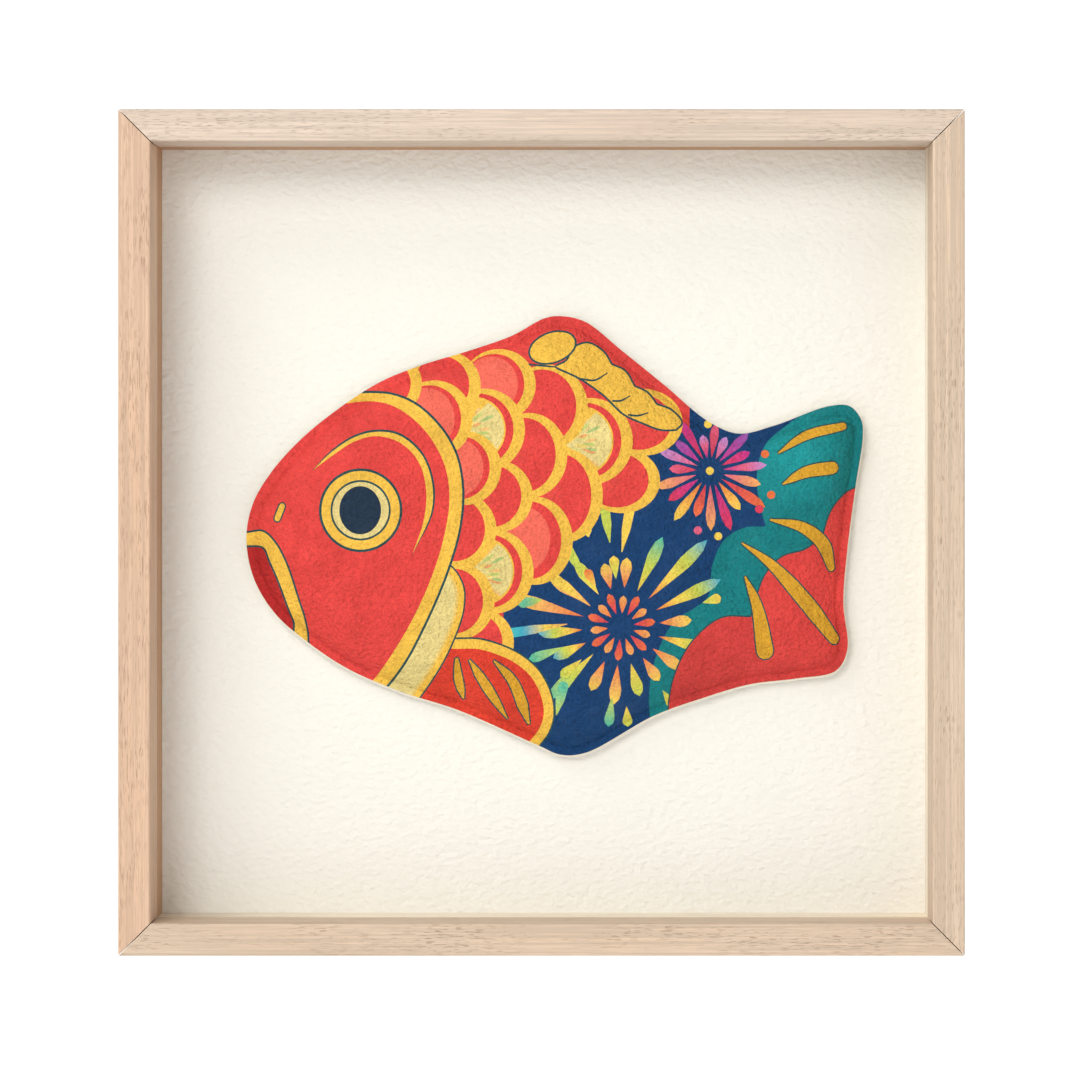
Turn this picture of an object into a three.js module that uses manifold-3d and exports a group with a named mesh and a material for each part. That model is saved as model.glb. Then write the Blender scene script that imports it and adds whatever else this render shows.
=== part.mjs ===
/**
 * Shadow-box frame with a moulded-paper carp relief.
 *
 * Four mitred wood rails hold, from front to back: a clear sheet, four spacer strips, a textured
 * ground paper on its mount board, and a back panel. The carp stands on the ground paper on foam pads:
 * a card backing, a hollow moulded shell with a flat rim, and a printed paper skin. Four turn buttons
 * hold the back panel in, and a D-ring on it hangs the frame on a wall.
 *
 * Millimetres. X is right, Z is up, and the front faces -Y.
 */
import * as THREE from "three";
import { mergeVertices } from "three/addons/utils/BufferGeometryUtils.js";
import Module from "manifold-3d";

const wasm = await Module();
wasm.setup();

// ---------------------------------------------------------------- driving dimensions

const FRAME_WIDTH = 210;
const FRAME_HEIGHT = 210;

const RAIL_FACE = 8; // a rail's width, seen from the front
const RAIL_LAND = 5; // a rail's width at its back, outside the rabbet
const LIP_DEPTH = 9.5; // front face to the rabbet's shoulder
const ARRIS = 0.5; // softened edges at the front
const MITRE_GAP = 0.15; // from each rail's end to the corner's diagonal

const GLAZING_THICKNESS = 2;
const SPACER_THICKNESS = 2;
const BOX_DEPTH = 10.5; // clear sheet to ground paper
const GROUND_THICKNESS = 0.5;
const MOUNT_BOARD_THICKNESS = 2;
const BACK_PANEL_THICKNESS = 2.5;
const SHEET_CLEARANCE = 0.25; // on each side of a sheet in the rabbet

const CARP_PLACE = { x: 3, z: -1.5 }; // the carp's centre, from the frame's centre
const PAD_SIZE = 10;
const PAD_THICKNESS = 1.2;
const BACKING_THICKNESS = 1;
const SHELL_THICKNESS = 0.6;
const SHELL_WALL = 0.8; // the shell's thickness across its steep sides
const PASTE_GAP = 0.15;
const PRINT_THICKNESS = 0.25;
const RIM_WIDTH = 2.5; // flat rim round the relief
const RELIEF_CLEARANCE = 1; // from the relief's crown to the clear sheet
const CROWN_HEIGHT = 1.6; // of the relief's height, the part above its shoulder
const CROWN_REACH = 16;
const SHOULDER_WIDTH = 12;

const V_NAIL_LEG = 4.5;
const V_NAIL_STEEL = 0.7;
const V_NAIL_DEPTH = 5;
const V_NAIL_CLEARANCE = 0.2;

const BUTTON_LENGTH = 11; // pivot to tip
const BUTTON_WIDTH = 4.8;
const BUTTON_THICKNESS = 1;
const BUTTON_SPACING = 100; // between the two buttons on one rail
const SCREW_SHANK_RADIUS = 1;
const SCREW_LENGTH = 8;
const SCREW_HEAD_RADIUS = 2.2;
const SCREW_HEAD_HEIGHT = 1.3;
const HOLE_CLEARANCE = 0.25; // on the radius

const HANGER_DROP = 20; // frame's top to the ring's pivot
const HANGER_PLATE = { width: 26, height: 7, thickness: 0.8 };
const KNUCKLE_WIDTH = 7;
const KNUCKLE_WALL = 0.7;
const RING_WIRE_RADIUS = 1;
const RING_HALF_WIDTH = 7;
const RING_SIDE = 3.5; // straight part of the ring's two sides
const RING_CORNER = 2.5;
const RIVET_SPACING = 19;
const RIVET_SHANK_RADIUS = 1;
const RIVET_HEAD_RADIUS = 2;
const RIVET_HEAD_HEIGHT = 0.8;

// The carp's outline, clockwise from its mouth and measured from its centre: x, z.
const CARP_OUTLINE = [
  [-79, -1], [-77.5, 8], [-73, 16], [-65.5, 24.5], [-56.5, 32], [-45, 39.5], [-34, 44],
  [-22.5, 47.5], [-11, 51.5], [-2.5, 56], [2, 56.5], [8, 55], [17.5, 47.5], [28, 39],
  [39.5, 29.5], [47, 26.5], [56, 28.5], [70, 33.5], [75.5, 33.5], [78.5, 30], [79, 26],
  [77, 12], [75, -3.5], [74, -17], [75, -29], [72, -34.5], [62, -36.5], [50, -38],
  [38, -41.5], [25.5, -46], [8, -55.5], [1.5, -56], [-4.5, -53.5], [-25, -44.5],
  [-39, -40], [-53, -34], [-63.5, -27], [-71.5, -20], [-77, -11],
];

// The shallow valley between body and tail, from the notch above to where it fades out.
const VALLEY = { from: [47, 26], to: [44, -10], depth: 0.35, reach: 9 };

const PAD_PLACES = [[-48, 2], [-8, 26], [-8, -26], [28, -4], [62, 6]];

// ---------------------------------------------------------------- depths, from the front face

const GLAZING_Y = LIP_DEPTH;
const SPACER_Y = GLAZING_Y + GLAZING_THICKNESS;
const GROUND_Y = SPACER_Y + BOX_DEPTH;
const MOUNT_BOARD_Y = GROUND_Y + GROUND_THICKNESS;
const BACK_PANEL_Y = MOUNT_BOARD_Y + MOUNT_BOARD_THICKNESS;
const FRAME_DEPTH = BACK_PANEL_Y + BACK_PANEL_THICKNESS;

const PAD_Y = GROUND_Y - PAD_THICKNESS;
const BACKING_Y = PAD_Y - BACKING_THICKNESS;
const SHELL_Y = BACKING_Y - SHELL_THICKNESS;
const PRINT_BACK_Y = SHELL_Y - PASTE_GAP;
const PRINT_Y = PRINT_BACK_Y - PRINT_THICKNESS;
const SHOULDER_HEIGHT = PRINT_Y - SPACER_Y - RELIEF_CLEARANCE - CROWN_HEIGHT;

const RABBET_WIDTH = FRAME_WIDTH - 2 * RAIL_LAND;
const RABBET_HEIGHT = FRAME_HEIGHT - 2 * RAIL_LAND;
const SHEET_WIDTH = RABBET_WIDTH - 2 * SHEET_CLEARANCE;
const SHEET_HEIGHT = RABBET_HEIGHT - 2 * SHEET_CLEARANCE;

const ROUND_STEPS = 16;

// ---------------------------------------------------------------- finishes

function finish(color, roughness, metalness = 0) {
  return new THREE.MeshStandardMaterial({ color, roughness, metalness });
}

const FINISH = {
  rail: finish(0xe2c4a6, 0.6),
  spacer: finish(0xd8b48e, 0.65),
  glazing: new THREE.MeshStandardMaterial({ color: 0xffffff, roughness: 0.05, transparent: true, opacity: 0.1 }),
  ground: finish(0xfaf6ea, 0.95),
  board: finish(0xe6e0d2, 0.9),
  core: finish(0xf4f0e6, 0.9),
  print: finish(0xdd3c38, 0.75),
  foam: finish(0xf2f2ee, 0.95),
  panel: finish(0xa98765, 0.8),
  steel: finish(0xc9c7c2, 0.35, 1),
  brass: finish(0xcdaa62, 0.35, 1),
};

// ---------------------------------------------------------------- solids

/** A closed mesh's geometry as a manifold solid. */
function solid(geometry) {
  const bare = geometry.clone();
  bare.deleteAttribute("normal");
  bare.deleteAttribute("uv");
  const merged = mergeVertices(bare, 1e-4);
  return new wasm.Manifold(
    new wasm.Mesh({
      numProp: 3,
      vertProperties: Float32Array.from(merged.getAttribute("position").array),
      triVerts: Uint32Array.from(merged.getIndex().array),
    }),
  );
}

/** A manifold solid as a geometry. */
function geometryOf(body) {
  const mesh = body.getMesh();
  const geometry = new THREE.BufferGeometry();
  geometry.setAttribute("position", new THREE.BufferAttribute(mesh.vertProperties, 3));
  geometry.setIndex(new THREE.BufferAttribute(mesh.triVerts, 1));
  geometry.computeVertexNormals();
  return geometry;
}

/** base with each tool cut out of it. */
function cut(base, tools) {
  return geometryOf(tools.reduce((body, tool) => body.subtract(solid(tool)), solid(base)));
}

/** A box between two depths, centred on x, z. */
function slab(width, height, yFront, yBack, x = 0, z = 0) {
  const box = new THREE.BoxGeometry(width, yBack - yFront, height);
  return box.translate(x, (yFront + yBack) / 2, z);
}

/** An outline in x, z extruded from yFront to yBack. */
function plate(shape, yFront, yBack) {
  const extruded = new THREE.ExtrudeGeometry(shape, {
    depth: yBack - yFront,
    bevelEnabled: false,
    curveSegments: ROUND_STEPS / 4,
  });
  return extruded.rotateX(Math.PI / 2).translate(0, yBack, 0);
}

/** A profile of [radius, y] points turned about the Y axis through x, z. */
function turned(profile, x, z) {
  const points = profile.map(([radius, y]) => new THREE.Vector2(radius, y));
  return new THREE.LatheGeometry(points, ROUND_STEPS).translate(x, 0, z);
}

/** A plain round pin or hole tool along Y. */
function roundBar(radius, yFront, yBack, x, z) {
  return turned([[0, yFront], [radius, yFront], [radius, yBack], [0, yBack]], x, z);
}

/** A closed shape from corners [x, y, radius], each rounded where its radius isn't 0. */
function roundedShape(corners) {
  const shape = new THREE.Shape();
  corners.forEach(([x, y, radius], i) => {
    const corner = new THREE.Vector2(x, y);
    const before = new THREE.Vector2(...corners[(i + corners.length - 1) % corners.length]);
    const after = new THREE.Vector2(...corners[(i + 1) % corners.length]);
    const start = before.sub(corner).setLength(radius).add(corner);
    const end = after.sub(corner).setLength(radius).add(corner);
    if (i === 0) {
      shape.moveTo(start.x, start.y);
    } else {
      shape.lineTo(start.x, start.y);
    }
    if (radius > 0) {
      shape.quadraticCurveTo(x, y, end.x, end.y);
    }
  });
  shape.closePath();
  return shape;
}

// ---------------------------------------------------------------- frame rails

/** A rail along X at the bottom of the frame, with its outer face at z = 0 and mitred ends. */
function railBlank(length) {
  const section = roundedShape([
    [0, 0, ARRIS],
    [RAIL_FACE, 0, ARRIS],
    [RAIL_FACE, LIP_DEPTH, 0],
    [RAIL_LAND, LIP_DEPTH, 0],
    [RAIL_LAND, FRAME_DEPTH, 0],
    [0, FRAME_DEPTH, ARRIS],
  ]);
  const blank = new THREE.ExtrudeGeometry(section, { depth: 1, bevelEnabled: false, curveSegments: 4 });
  const place = blank.getAttribute("position");
  for (let i = 0; i < place.count; i += 1) {
    const inward = place.getX(i);
    const side = place.getZ(i) > 0.5 ? -1 : 1;
    const reach = length / 2 - inward - MITRE_GAP;
    place.setXYZ(i, side * reach, place.getY(i), inward);
  }
  return blank;
}

/** An L of flat steel over the corner at sx, sz, with a leg along each rail. */
function vNail(sx, sz, clearance, yFront, yBack) {
  const near = RAIL_LAND / 2 - V_NAIL_STEEL / 2;
  const x = FRAME_WIDTH / 2 - near + clearance;
  const z = FRAME_HEIGHT / 2 - near + clearance;
  const leg = V_NAIL_LEG + 2 * clearance;
  const wide = V_NAIL_STEEL + 2 * clearance;
  const alongTop = slab(leg, wide, yFront, yBack, sx * (x - leg / 2), sz * (z - wide / 2));
  const alongSide = slab(wide, leg, yFront, yBack, sx * (x - wide / 2), sz * (z - leg / 2));
  return geometryOf(solid(alongTop).add(solid(alongSide)));
}

const CORNERS = [["top_left", -1, 1], ["top_right", 1, 1], ["bottom_left", -1, -1], ["bottom_right", 1, -1]];

const BUTTON_X = FRAME_WIDTH / 2 - RAIL_LAND / 2;
const BUTTONS = [
  ["left_upper", -BUTTON_X, BUTTON_SPACING / 2],
  ["left_lower", -BUTTON_X, -BUTTON_SPACING / 2],
  ["right_upper", BUTTON_X, BUTTON_SPACING / 2],
  ["right_lower", BUTTON_X, -BUTTON_SPACING / 2],
];

/** What every rail is cut by: the slots for the V-nails and the pilot holes for the button screws. */
function railCuts() {
  const slots = CORNERS.map(([, sx, sz]) =>
    vNail(sx, sz, V_NAIL_CLEARANCE, FRAME_DEPTH - V_NAIL_DEPTH - V_NAIL_CLEARANCE, FRAME_DEPTH + 1),
  );
  const holeDepth = FRAME_DEPTH - SCREW_LENGTH + BUTTON_THICKNESS - HOLE_CLEARANCE;
  const holes = BUTTONS.map(([, x, z]) =>
    roundBar(SCREW_SHANK_RADIUS + HOLE_CLEARANCE, holeDepth, FRAME_DEPTH + 1, x, z),
  );
  return [...slots, ...holes];
}

function rail(length, quarterTurns, distance) {
  const blank = railBlank(length).translate(0, 0, -distance);
  return cut(blank.rotateY((quarterTurns * Math.PI) / 2), railCuts());
}

// ---------------------------------------------------------------- carp relief

const carpCurve = new THREE.CatmullRomCurve3(
  CARP_OUTLINE.map(([x, z]) => new THREE.Vector3(x, z, 0)),
  true,
  "centripetal",
);
const carpRim = carpCurve.getSpacedPoints(140).slice(0, -1);
const carpShape = new THREE.Shape(carpRim.map((p) => new THREE.Vector2(p.x, p.y)));

/** Distance from u, v to the segment a-b. */
function toSegment(u, v, ax, ay, bx, by) {
  const dx = bx - ax;
  const dy = by - ay;
  const along = ((u - ax) * dx + (v - ay) * dy) / (dx * dx + dy * dy);
  const t = Math.min(1, Math.max(0, along));
  return Math.hypot(u - ax - t * dx, v - ay - t * dy);
}

/** How far u, v lies inside the carp's outline: 0 on it and outside it. */
function depthInside(u, v) {
  let inside = false;
  let nearest = Infinity;
  for (let i = 0; i < carpRim.length; i += 1) {
    const a = carpRim[i];
    const b = carpRim[(i + 1) % carpRim.length];
    nearest = Math.min(nearest, toSegment(u, v, a.x, a.y, b.x, b.y));
    if (a.y > v !== b.y > v && u < a.x + ((v - a.y) / (b.y - a.y)) * (b.x - a.x)) {
      inside = !inside;
    }
  }
  return inside ? nearest : 0;
}

/** Depth inside the outline with its ridges eased, so that the relief's crown is smooth. */
function easedDepth(u, v) {
  const here = depthInside(u, v);
  let sum = here;
  let count = 1;
  for (const radius of [4, 8]) {
    for (let k = 0; k < 12; k += 1) {
      const angle = (k * Math.PI) / 6;
      sum += depthInside(u + radius * Math.cos(angle), v + radius * Math.sin(angle));
      count += 1;
    }
  }
  const ease = THREE.MathUtils.smoothstep(here, 0, 12);
  return here * (1 - ease) + (sum / count) * ease;
}

/** The relief's height above its rim, where the eased depth is depth. */
function reliefHeight(depth, u, v) {
  if (depth <= 0) {
    return 0;
  }
  const t = Math.min(depth / SHOULDER_WIDTH, 1);
  const shoulder = SHOULDER_HEIGHT * Math.pow(1 - (1 - t) ** 2, 0.7);
  const crown = CROWN_HEIGHT * (1 - Math.exp(-((depth / CROWN_REACH) ** 2)));
  const away = toSegment(u, v, ...VALLEY.from, ...VALLEY.to) / VALLEY.reach;
  return (shoulder + crown) * (1 - VALLEY.depth * Math.exp(-away * away));
}

/** A square-celled sheet over the carp, from front(height) to back(height), trimmed to its outline. */
function reliefSheet(step, front, back) {
  const columns = Math.ceil(166 / step);
  const rows = Math.ceil(120 / step);
  const position = [];
  const index = [];
  for (let j = 0; j <= rows; j += 1) {
    for (let i = 0; i <= columns; i += 1) {
      const u = (i - columns / 2) * step;
      const v = (j - rows / 2) * step;
      const depth = easedDepth(u, v) - RIM_WIDTH;
      position.push(u, front(depth, u, v), v, u, back(depth, u, v), v);
    }
  }
  const at = (i, j, side) => 2 * (j * (columns + 1) + i) + side;
  const quad = (a, b, c, d) => index.push(a, b, c, a, c, d);
  for (let j = 0; j < rows; j += 1) {
    for (let i = 0; i < columns; i += 1) {
      quad(at(i, j, 0), at(i + 1, j, 0), at(i + 1, j + 1, 0), at(i, j + 1, 0));
      quad(at(i, j, 1), at(i, j + 1, 1), at(i + 1, j + 1, 1), at(i + 1, j, 1));
    }
  }
  for (let i = 0; i < columns; i += 1) {
    quad(at(i, 0, 1), at(i + 1, 0, 1), at(i + 1, 0, 0), at(i, 0, 0));
    quad(at(i, rows, 0), at(i + 1, rows, 0), at(i + 1, rows, 1), at(i, rows, 1));
  }
  for (let j = 0; j < rows; j += 1) {
    quad(at(0, j, 0), at(0, j + 1, 0), at(0, j + 1, 1), at(0, j, 1));
    quad(at(columns, j, 1), at(columns, j + 1, 1), at(columns, j + 1, 0), at(columns, j, 0));
  }
  const sheet = new THREE.BufferGeometry();
  sheet.setAttribute("position", new THREE.BufferAttribute(new Float32Array(position), 3));
  sheet.setIndex(index);
  const prism = plate(carpShape, GLAZING_Y, GROUND_Y);
  return geometryOf(solid(sheet).intersect(solid(prism)));
}

const RELIEF_STEP = 4.5;

function carpShell() {
  const front = (depth, u, v) => SHELL_Y - reliefHeight(depth, u, v);
  const back = (depth, u, v) => BACKING_Y - reliefHeight(depth - SHELL_WALL, u, v);
  return reliefSheet(RELIEF_STEP, front, back);
}

function carpPrint() {
  const front = (depth, u, v) => PRINT_Y - reliefHeight(depth, u, v);
  const back = (depth, u, v) => PRINT_BACK_Y - reliefHeight(depth, u, v);
  return reliefSheet(RELIEF_STEP, front, back);
}

function foamPad() {
  const half = PAD_SIZE / 2;
  const round = 1;
  const outline = roundedShape([
    [-half, -half, round],
    [half, -half, round],
    [half, half, round],
    [-half, half, round],
  ]);
  return plate(outline, PAD_Y, GROUND_Y);
}

// ---------------------------------------------------------------- back hardware

/** A turn button about x = 0, z = 0, with its finger towards +X. */
function turnButton() {
  const half = BUTTON_WIDTH / 2;
  const outline = new THREE.Shape();
  outline.absarc(BUTTON_LENGTH - half, 0, half, -Math.PI / 2, Math.PI / 2, false);
  outline.absarc(0, 0, half, Math.PI / 2, -Math.PI / 2, false);
  const hole = roundBar(SCREW_SHANK_RADIUS + HOLE_CLEARANCE, FRAME_DEPTH - 1, FRAME_DEPTH + 2, 0, 0);
  return cut(plate(outline, FRAME_DEPTH, FRAME_DEPTH + BUTTON_THICKNESS), [hole]);
}

/** The button's screw: a low dome with a crossed slot, and a shank that ends in a point. */
function buttonScrew() {
  const seat = FRAME_DEPTH + BUTTON_THICKNESS;
  const tip = seat - SCREW_LENGTH;
  const profile = [[0, tip], [SCREW_SHANK_RADIUS, tip + 2], [SCREW_SHANK_RADIUS, seat], [SCREW_HEAD_RADIUS, seat]];
  for (let k = 1; k <= 5; k += 1) {
    const angle = (k * Math.PI) / 10;
    const radius = k < 5 ? SCREW_HEAD_RADIUS * Math.cos(angle) : 0;
    profile.push([radius, seat + SCREW_HEAD_HEIGHT * Math.sin(angle)]);
  }
  const slotFloor = seat + SCREW_HEAD_HEIGHT * 0.4;
  const slotLength = SCREW_HEAD_RADIUS * 1.3;
  const slotWidth = SCREW_HEAD_RADIUS * 0.22;
  return cut(turned(profile, 0, 0), [
    slab(slotLength, slotWidth, slotFloor, seat + SCREW_HEAD_HEIGHT + 1),
    slab(slotWidth, slotLength, slotFloor, seat + SCREW_HEAD_HEIGHT + 1),
  ]);
}

const HANGER_Z = FRAME_HEIGHT / 2 - HANGER_DROP;
const PLATE_BACK_Y = FRAME_DEPTH + HANGER_PLATE.thickness;
const RING_Y = PLATE_BACK_Y + RING_WIRE_RADIUS + 0.3;
const RIVET_X = [-RIVET_SPACING / 2, RIVET_SPACING / 2];

function rivetHole(x) {
  return roundBar(RIVET_SHANK_RADIUS + HOLE_CLEARANCE, BACK_PANEL_Y - 1, PLATE_BACK_Y + 1, x, HANGER_Z);
}

/** The hanger's plate with the knuckle that the D-ring's bar turns in. */
function hangerPlate() {
  const { width, height } = HANGER_PLATE;
  const outline = roundedShape([
    [-width / 2, HANGER_Z - height / 2, 2],
    [width / 2, HANGER_Z - height / 2, 2],
    [width / 2, HANGER_Z + height / 2, 2],
    [-width / 2, HANGER_Z + height / 2, 2],
  ]);
  const bore = RING_WIRE_RADIUS + HOLE_CLEARANCE;
  const outer = bore + KNUCKLE_WALL;
  const alongX = (radius, length) =>
    new THREE.CylinderGeometry(radius, radius, length, ROUND_STEPS)
      .rotateZ(Math.PI / 2)
      .translate(0, RING_Y, HANGER_Z);
  const web = slab(KNUCKLE_WIDTH, 2 * outer, FRAME_DEPTH, RING_Y, 0, HANGER_Z);
  const body = solid(plate(outline, FRAME_DEPTH, PLATE_BACK_Y))
    .add(solid(web))
    .add(solid(alongX(outer, KNUCKLE_WIDTH)));
  return cut(geometryOf(body), [alongX(bore, KNUCKLE_WIDTH + 2), ...RIVET_X.map(rivetHole)]);
}

/** The D-ring: round wire along a closed D, hanging below its straight bar. */
function hangerRing() {
  const path = new THREE.Path();
  const low = -RING_CORNER - RING_SIDE;
  path.moveTo(0, 0);
  path.lineTo(RING_HALF_WIDTH - RING_CORNER, 0);
  path.absarc(RING_HALF_WIDTH - RING_CORNER, -RING_CORNER, RING_CORNER, Math.PI / 2, 0, true);
  path.lineTo(RING_HALF_WIDTH, low);
  path.absarc(0, low, RING_HALF_WIDTH, 0, -Math.PI, true);
  path.lineTo(-RING_HALF_WIDTH, -RING_CORNER);
  path.absarc(-RING_HALF_WIDTH + RING_CORNER, -RING_CORNER, RING_CORNER, Math.PI, Math.PI / 2, true);
  path.closePath();
  const steps = 40;
  const sides = 8;
  const position = [];
  const index = [];
  for (let i = 0; i < steps; i += 1) {
    const centre = path.getPointAt(i / steps);
    const along = path.getTangentAt(i / steps);
    for (let k = 0; k < sides; k += 1) {
      const angle = (2 * Math.PI * k) / sides;
      const across = RING_WIRE_RADIUS * Math.cos(angle);
      const out = RING_WIRE_RADIUS * Math.sin(angle);
      position.push(centre.x - along.y * across, RING_Y + out, HANGER_Z + centre.y + along.x * across);
      const a = i * sides + k;
      const b = i * sides + ((k + 1) % sides);
      const c = ((i + 1) % steps) * sides + ((k + 1) % sides);
      const d = ((i + 1) % steps) * sides + k;
      index.push(a, c, b, a, d, c);
    }
  }
  const ring = new THREE.BufferGeometry();
  ring.setAttribute("position", new THREE.BufferAttribute(new Float32Array(position), 3));
  ring.setIndex(index);
  return ring;
}

/** The rivet: a domed head on the plate and a shank that ends flush inside the panel. */
function rivet(x) {
  const profile = [[0, BACK_PANEL_Y + 0.2], [RIVET_SHANK_RADIUS, BACK_PANEL_Y + 0.2]];
  profile.push([RIVET_SHANK_RADIUS, PLATE_BACK_Y], [RIVET_HEAD_RADIUS, PLATE_BACK_Y]);
  for (let k = 1; k <= 4; k += 1) {
    const angle = (k * Math.PI) / 8;
    const radius = k < 4 ? RIVET_HEAD_RADIUS * Math.cos(angle) : 0;
    profile.push([radius, PLATE_BACK_Y + RIVET_HEAD_HEIGHT * Math.sin(angle)]);
  }
  return turned(profile, x, HANGER_Z);
}

// ---------------------------------------------------------------- assembly

const ornament = new THREE.Group();
ornament.position.set(0, -FRAME_DEPTH / 2, FRAME_HEIGHT / 2);

function place(name, geometry, material, group = ornament) {
  const mesh = new THREE.Mesh(geometry, material);
  mesh.name = name;
  group.add(mesh);
  return mesh;
}

place("rail_bottom", rail(FRAME_WIDTH, 0, FRAME_HEIGHT / 2), FINISH.rail);
place("rail_left", rail(FRAME_HEIGHT, 1, FRAME_WIDTH / 2), FINISH.rail);
place("rail_top", rail(FRAME_WIDTH, 2, FRAME_HEIGHT / 2), FINISH.rail);
place("rail_right", rail(FRAME_HEIGHT, 3, FRAME_WIDTH / 2), FINISH.rail);

for (const [corner, sx, sz] of CORNERS) {
  place(`v_nail_${corner}`, vNail(sx, sz, 0, FRAME_DEPTH - V_NAIL_DEPTH, FRAME_DEPTH), FINISH.steel);
}

place("glazing_sheet", slab(SHEET_WIDTH, SHEET_HEIGHT, GLAZING_Y, SPACER_Y), FINISH.glazing);

const spacerZ = RABBET_HEIGHT / 2 - SPACER_THICKNESS / 2;
const spacerX = RABBET_WIDTH / 2 - SPACER_THICKNESS / 2;
const sideLength = RABBET_HEIGHT - 2 * SPACER_THICKNESS;
place("spacer_top", slab(SHEET_WIDTH, SPACER_THICKNESS, SPACER_Y, GROUND_Y, 0, spacerZ), FINISH.spacer);
place("spacer_bottom", slab(SHEET_WIDTH, SPACER_THICKNESS, SPACER_Y, GROUND_Y, 0, -spacerZ), FINISH.spacer);
place("spacer_left", slab(SPACER_THICKNESS, sideLength, SPACER_Y, GROUND_Y, -spacerX, 0), FINISH.spacer);
place("spacer_right", slab(SPACER_THICKNESS, sideLength, SPACER_Y, GROUND_Y, spacerX, 0), FINISH.spacer);

place("ground_paper", slab(SHEET_WIDTH, SHEET_HEIGHT, GROUND_Y, MOUNT_BOARD_Y), FINISH.ground);
place("mount_board", slab(SHEET_WIDTH, SHEET_HEIGHT, MOUNT_BOARD_Y, BACK_PANEL_Y), FINISH.board);

const carp = new THREE.Group();
carp.position.set(CARP_PLACE.x, 0, CARP_PLACE.z);
ornament.add(carp);
place("carp_backing", plate(carpShape, BACKING_Y, PAD_Y), FINISH.core, carp);
place("carp_shell", carpShell(), FINISH.core, carp);
place("carp_print", carpPrint(), FINISH.print, carp);
PAD_PLACES.forEach(([x, z], i) => {
  place(`foam_pad_${i + 1}`, foamPad(), FINISH.foam, carp).position.set(x, 0, z);
});

const panel = slab(SHEET_WIDTH, SHEET_HEIGHT, BACK_PANEL_Y, FRAME_DEPTH);
place("back_panel", cut(panel, RIVET_X.map(rivetHole)), FINISH.panel);

for (const [name, x, z] of BUTTONS) {
  const button = place(`turn_button_${name}`, turnButton(), FINISH.steel);
  button.position.set(x, 0, z);
  button.rotation.y = x > 0 ? Math.PI : 0;
  place(`button_screw_${name}`, buttonScrew(), FINISH.brass).position.set(x, 0, z);
}

place("hanger_plate", hangerPlate(), FINISH.brass);
place("hanger_rivet_left", rivet(RIVET_X[0]), FINISH.brass);
place("hanger_rivet_right", rivet(RIVET_X[1]), FINISH.brass);
place("hanger_ring", hangerRing(), FINISH.brass);

export default ornament;
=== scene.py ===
"""Shadow-box frame with a moulded-paper carp relief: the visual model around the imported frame.

Sizes are in metres. The carp's own drawing is in millimetres from the carp's centre, u to the right and
v up, and becomes metres where its meshes are made. The frame's front faces -Y.
"""
import math

import bmesh
import bpy
import numpy as np
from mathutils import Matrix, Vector
from mathutils.geometry import delaunay_2d_cdt


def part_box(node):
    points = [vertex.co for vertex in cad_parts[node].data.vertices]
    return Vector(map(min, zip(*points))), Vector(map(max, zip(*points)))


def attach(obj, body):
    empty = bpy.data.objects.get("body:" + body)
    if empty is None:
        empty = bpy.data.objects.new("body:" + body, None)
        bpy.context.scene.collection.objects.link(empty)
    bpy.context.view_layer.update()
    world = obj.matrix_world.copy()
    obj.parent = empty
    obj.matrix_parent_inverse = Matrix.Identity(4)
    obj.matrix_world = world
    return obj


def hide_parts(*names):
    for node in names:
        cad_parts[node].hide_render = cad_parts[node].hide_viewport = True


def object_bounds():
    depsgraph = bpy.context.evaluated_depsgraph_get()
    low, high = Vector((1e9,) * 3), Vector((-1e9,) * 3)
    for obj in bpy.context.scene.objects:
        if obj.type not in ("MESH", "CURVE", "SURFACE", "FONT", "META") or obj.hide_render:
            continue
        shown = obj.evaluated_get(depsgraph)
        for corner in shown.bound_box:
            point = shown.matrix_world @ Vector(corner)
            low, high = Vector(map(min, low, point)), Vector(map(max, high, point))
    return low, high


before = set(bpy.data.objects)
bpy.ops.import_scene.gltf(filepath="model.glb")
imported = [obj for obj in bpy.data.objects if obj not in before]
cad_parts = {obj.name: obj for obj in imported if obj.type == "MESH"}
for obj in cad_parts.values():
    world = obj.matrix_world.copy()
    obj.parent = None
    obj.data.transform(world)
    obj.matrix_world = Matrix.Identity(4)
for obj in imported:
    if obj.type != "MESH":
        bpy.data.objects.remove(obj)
CAD_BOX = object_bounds()

bl_info = {
    "name": "Carp relief in a shadow-box frame",
    "version": (1, 0, 0),
    "blender": (4, 5, 0),
    "location": "View3D > Sidebar > Carp Relief",
    "description": "Builds the wood frame, the printed paper carp, the back fittings and a white stage",
    "category": "Object",
}

MM = 0.001

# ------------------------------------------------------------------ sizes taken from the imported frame

BACKING_LO, BACKING_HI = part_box("carp_backing")
PRINT_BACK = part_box("carp_print")[1].y
FRAME_FRONT = CAD_BOX[0].y


def srgb(red, green, blue):
    """Display values from 0 to 255 as a linear colour."""
    def lin(c):
        c /= 255
        return c / 12.92 if c <= 0.04045 else ((c + 0.055) / 1.055) ** 2.4

    return (lin(red), lin(green), lin(blue), 1.0)


# ------------------------------------------------------------------ settings a user would change


def colour_prop(name, description, value):
    return bpy.props.FloatVectorProperty(
        name=name, description=description, subtype="COLOR", size=4, min=0, max=1, default=value
    )


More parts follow.
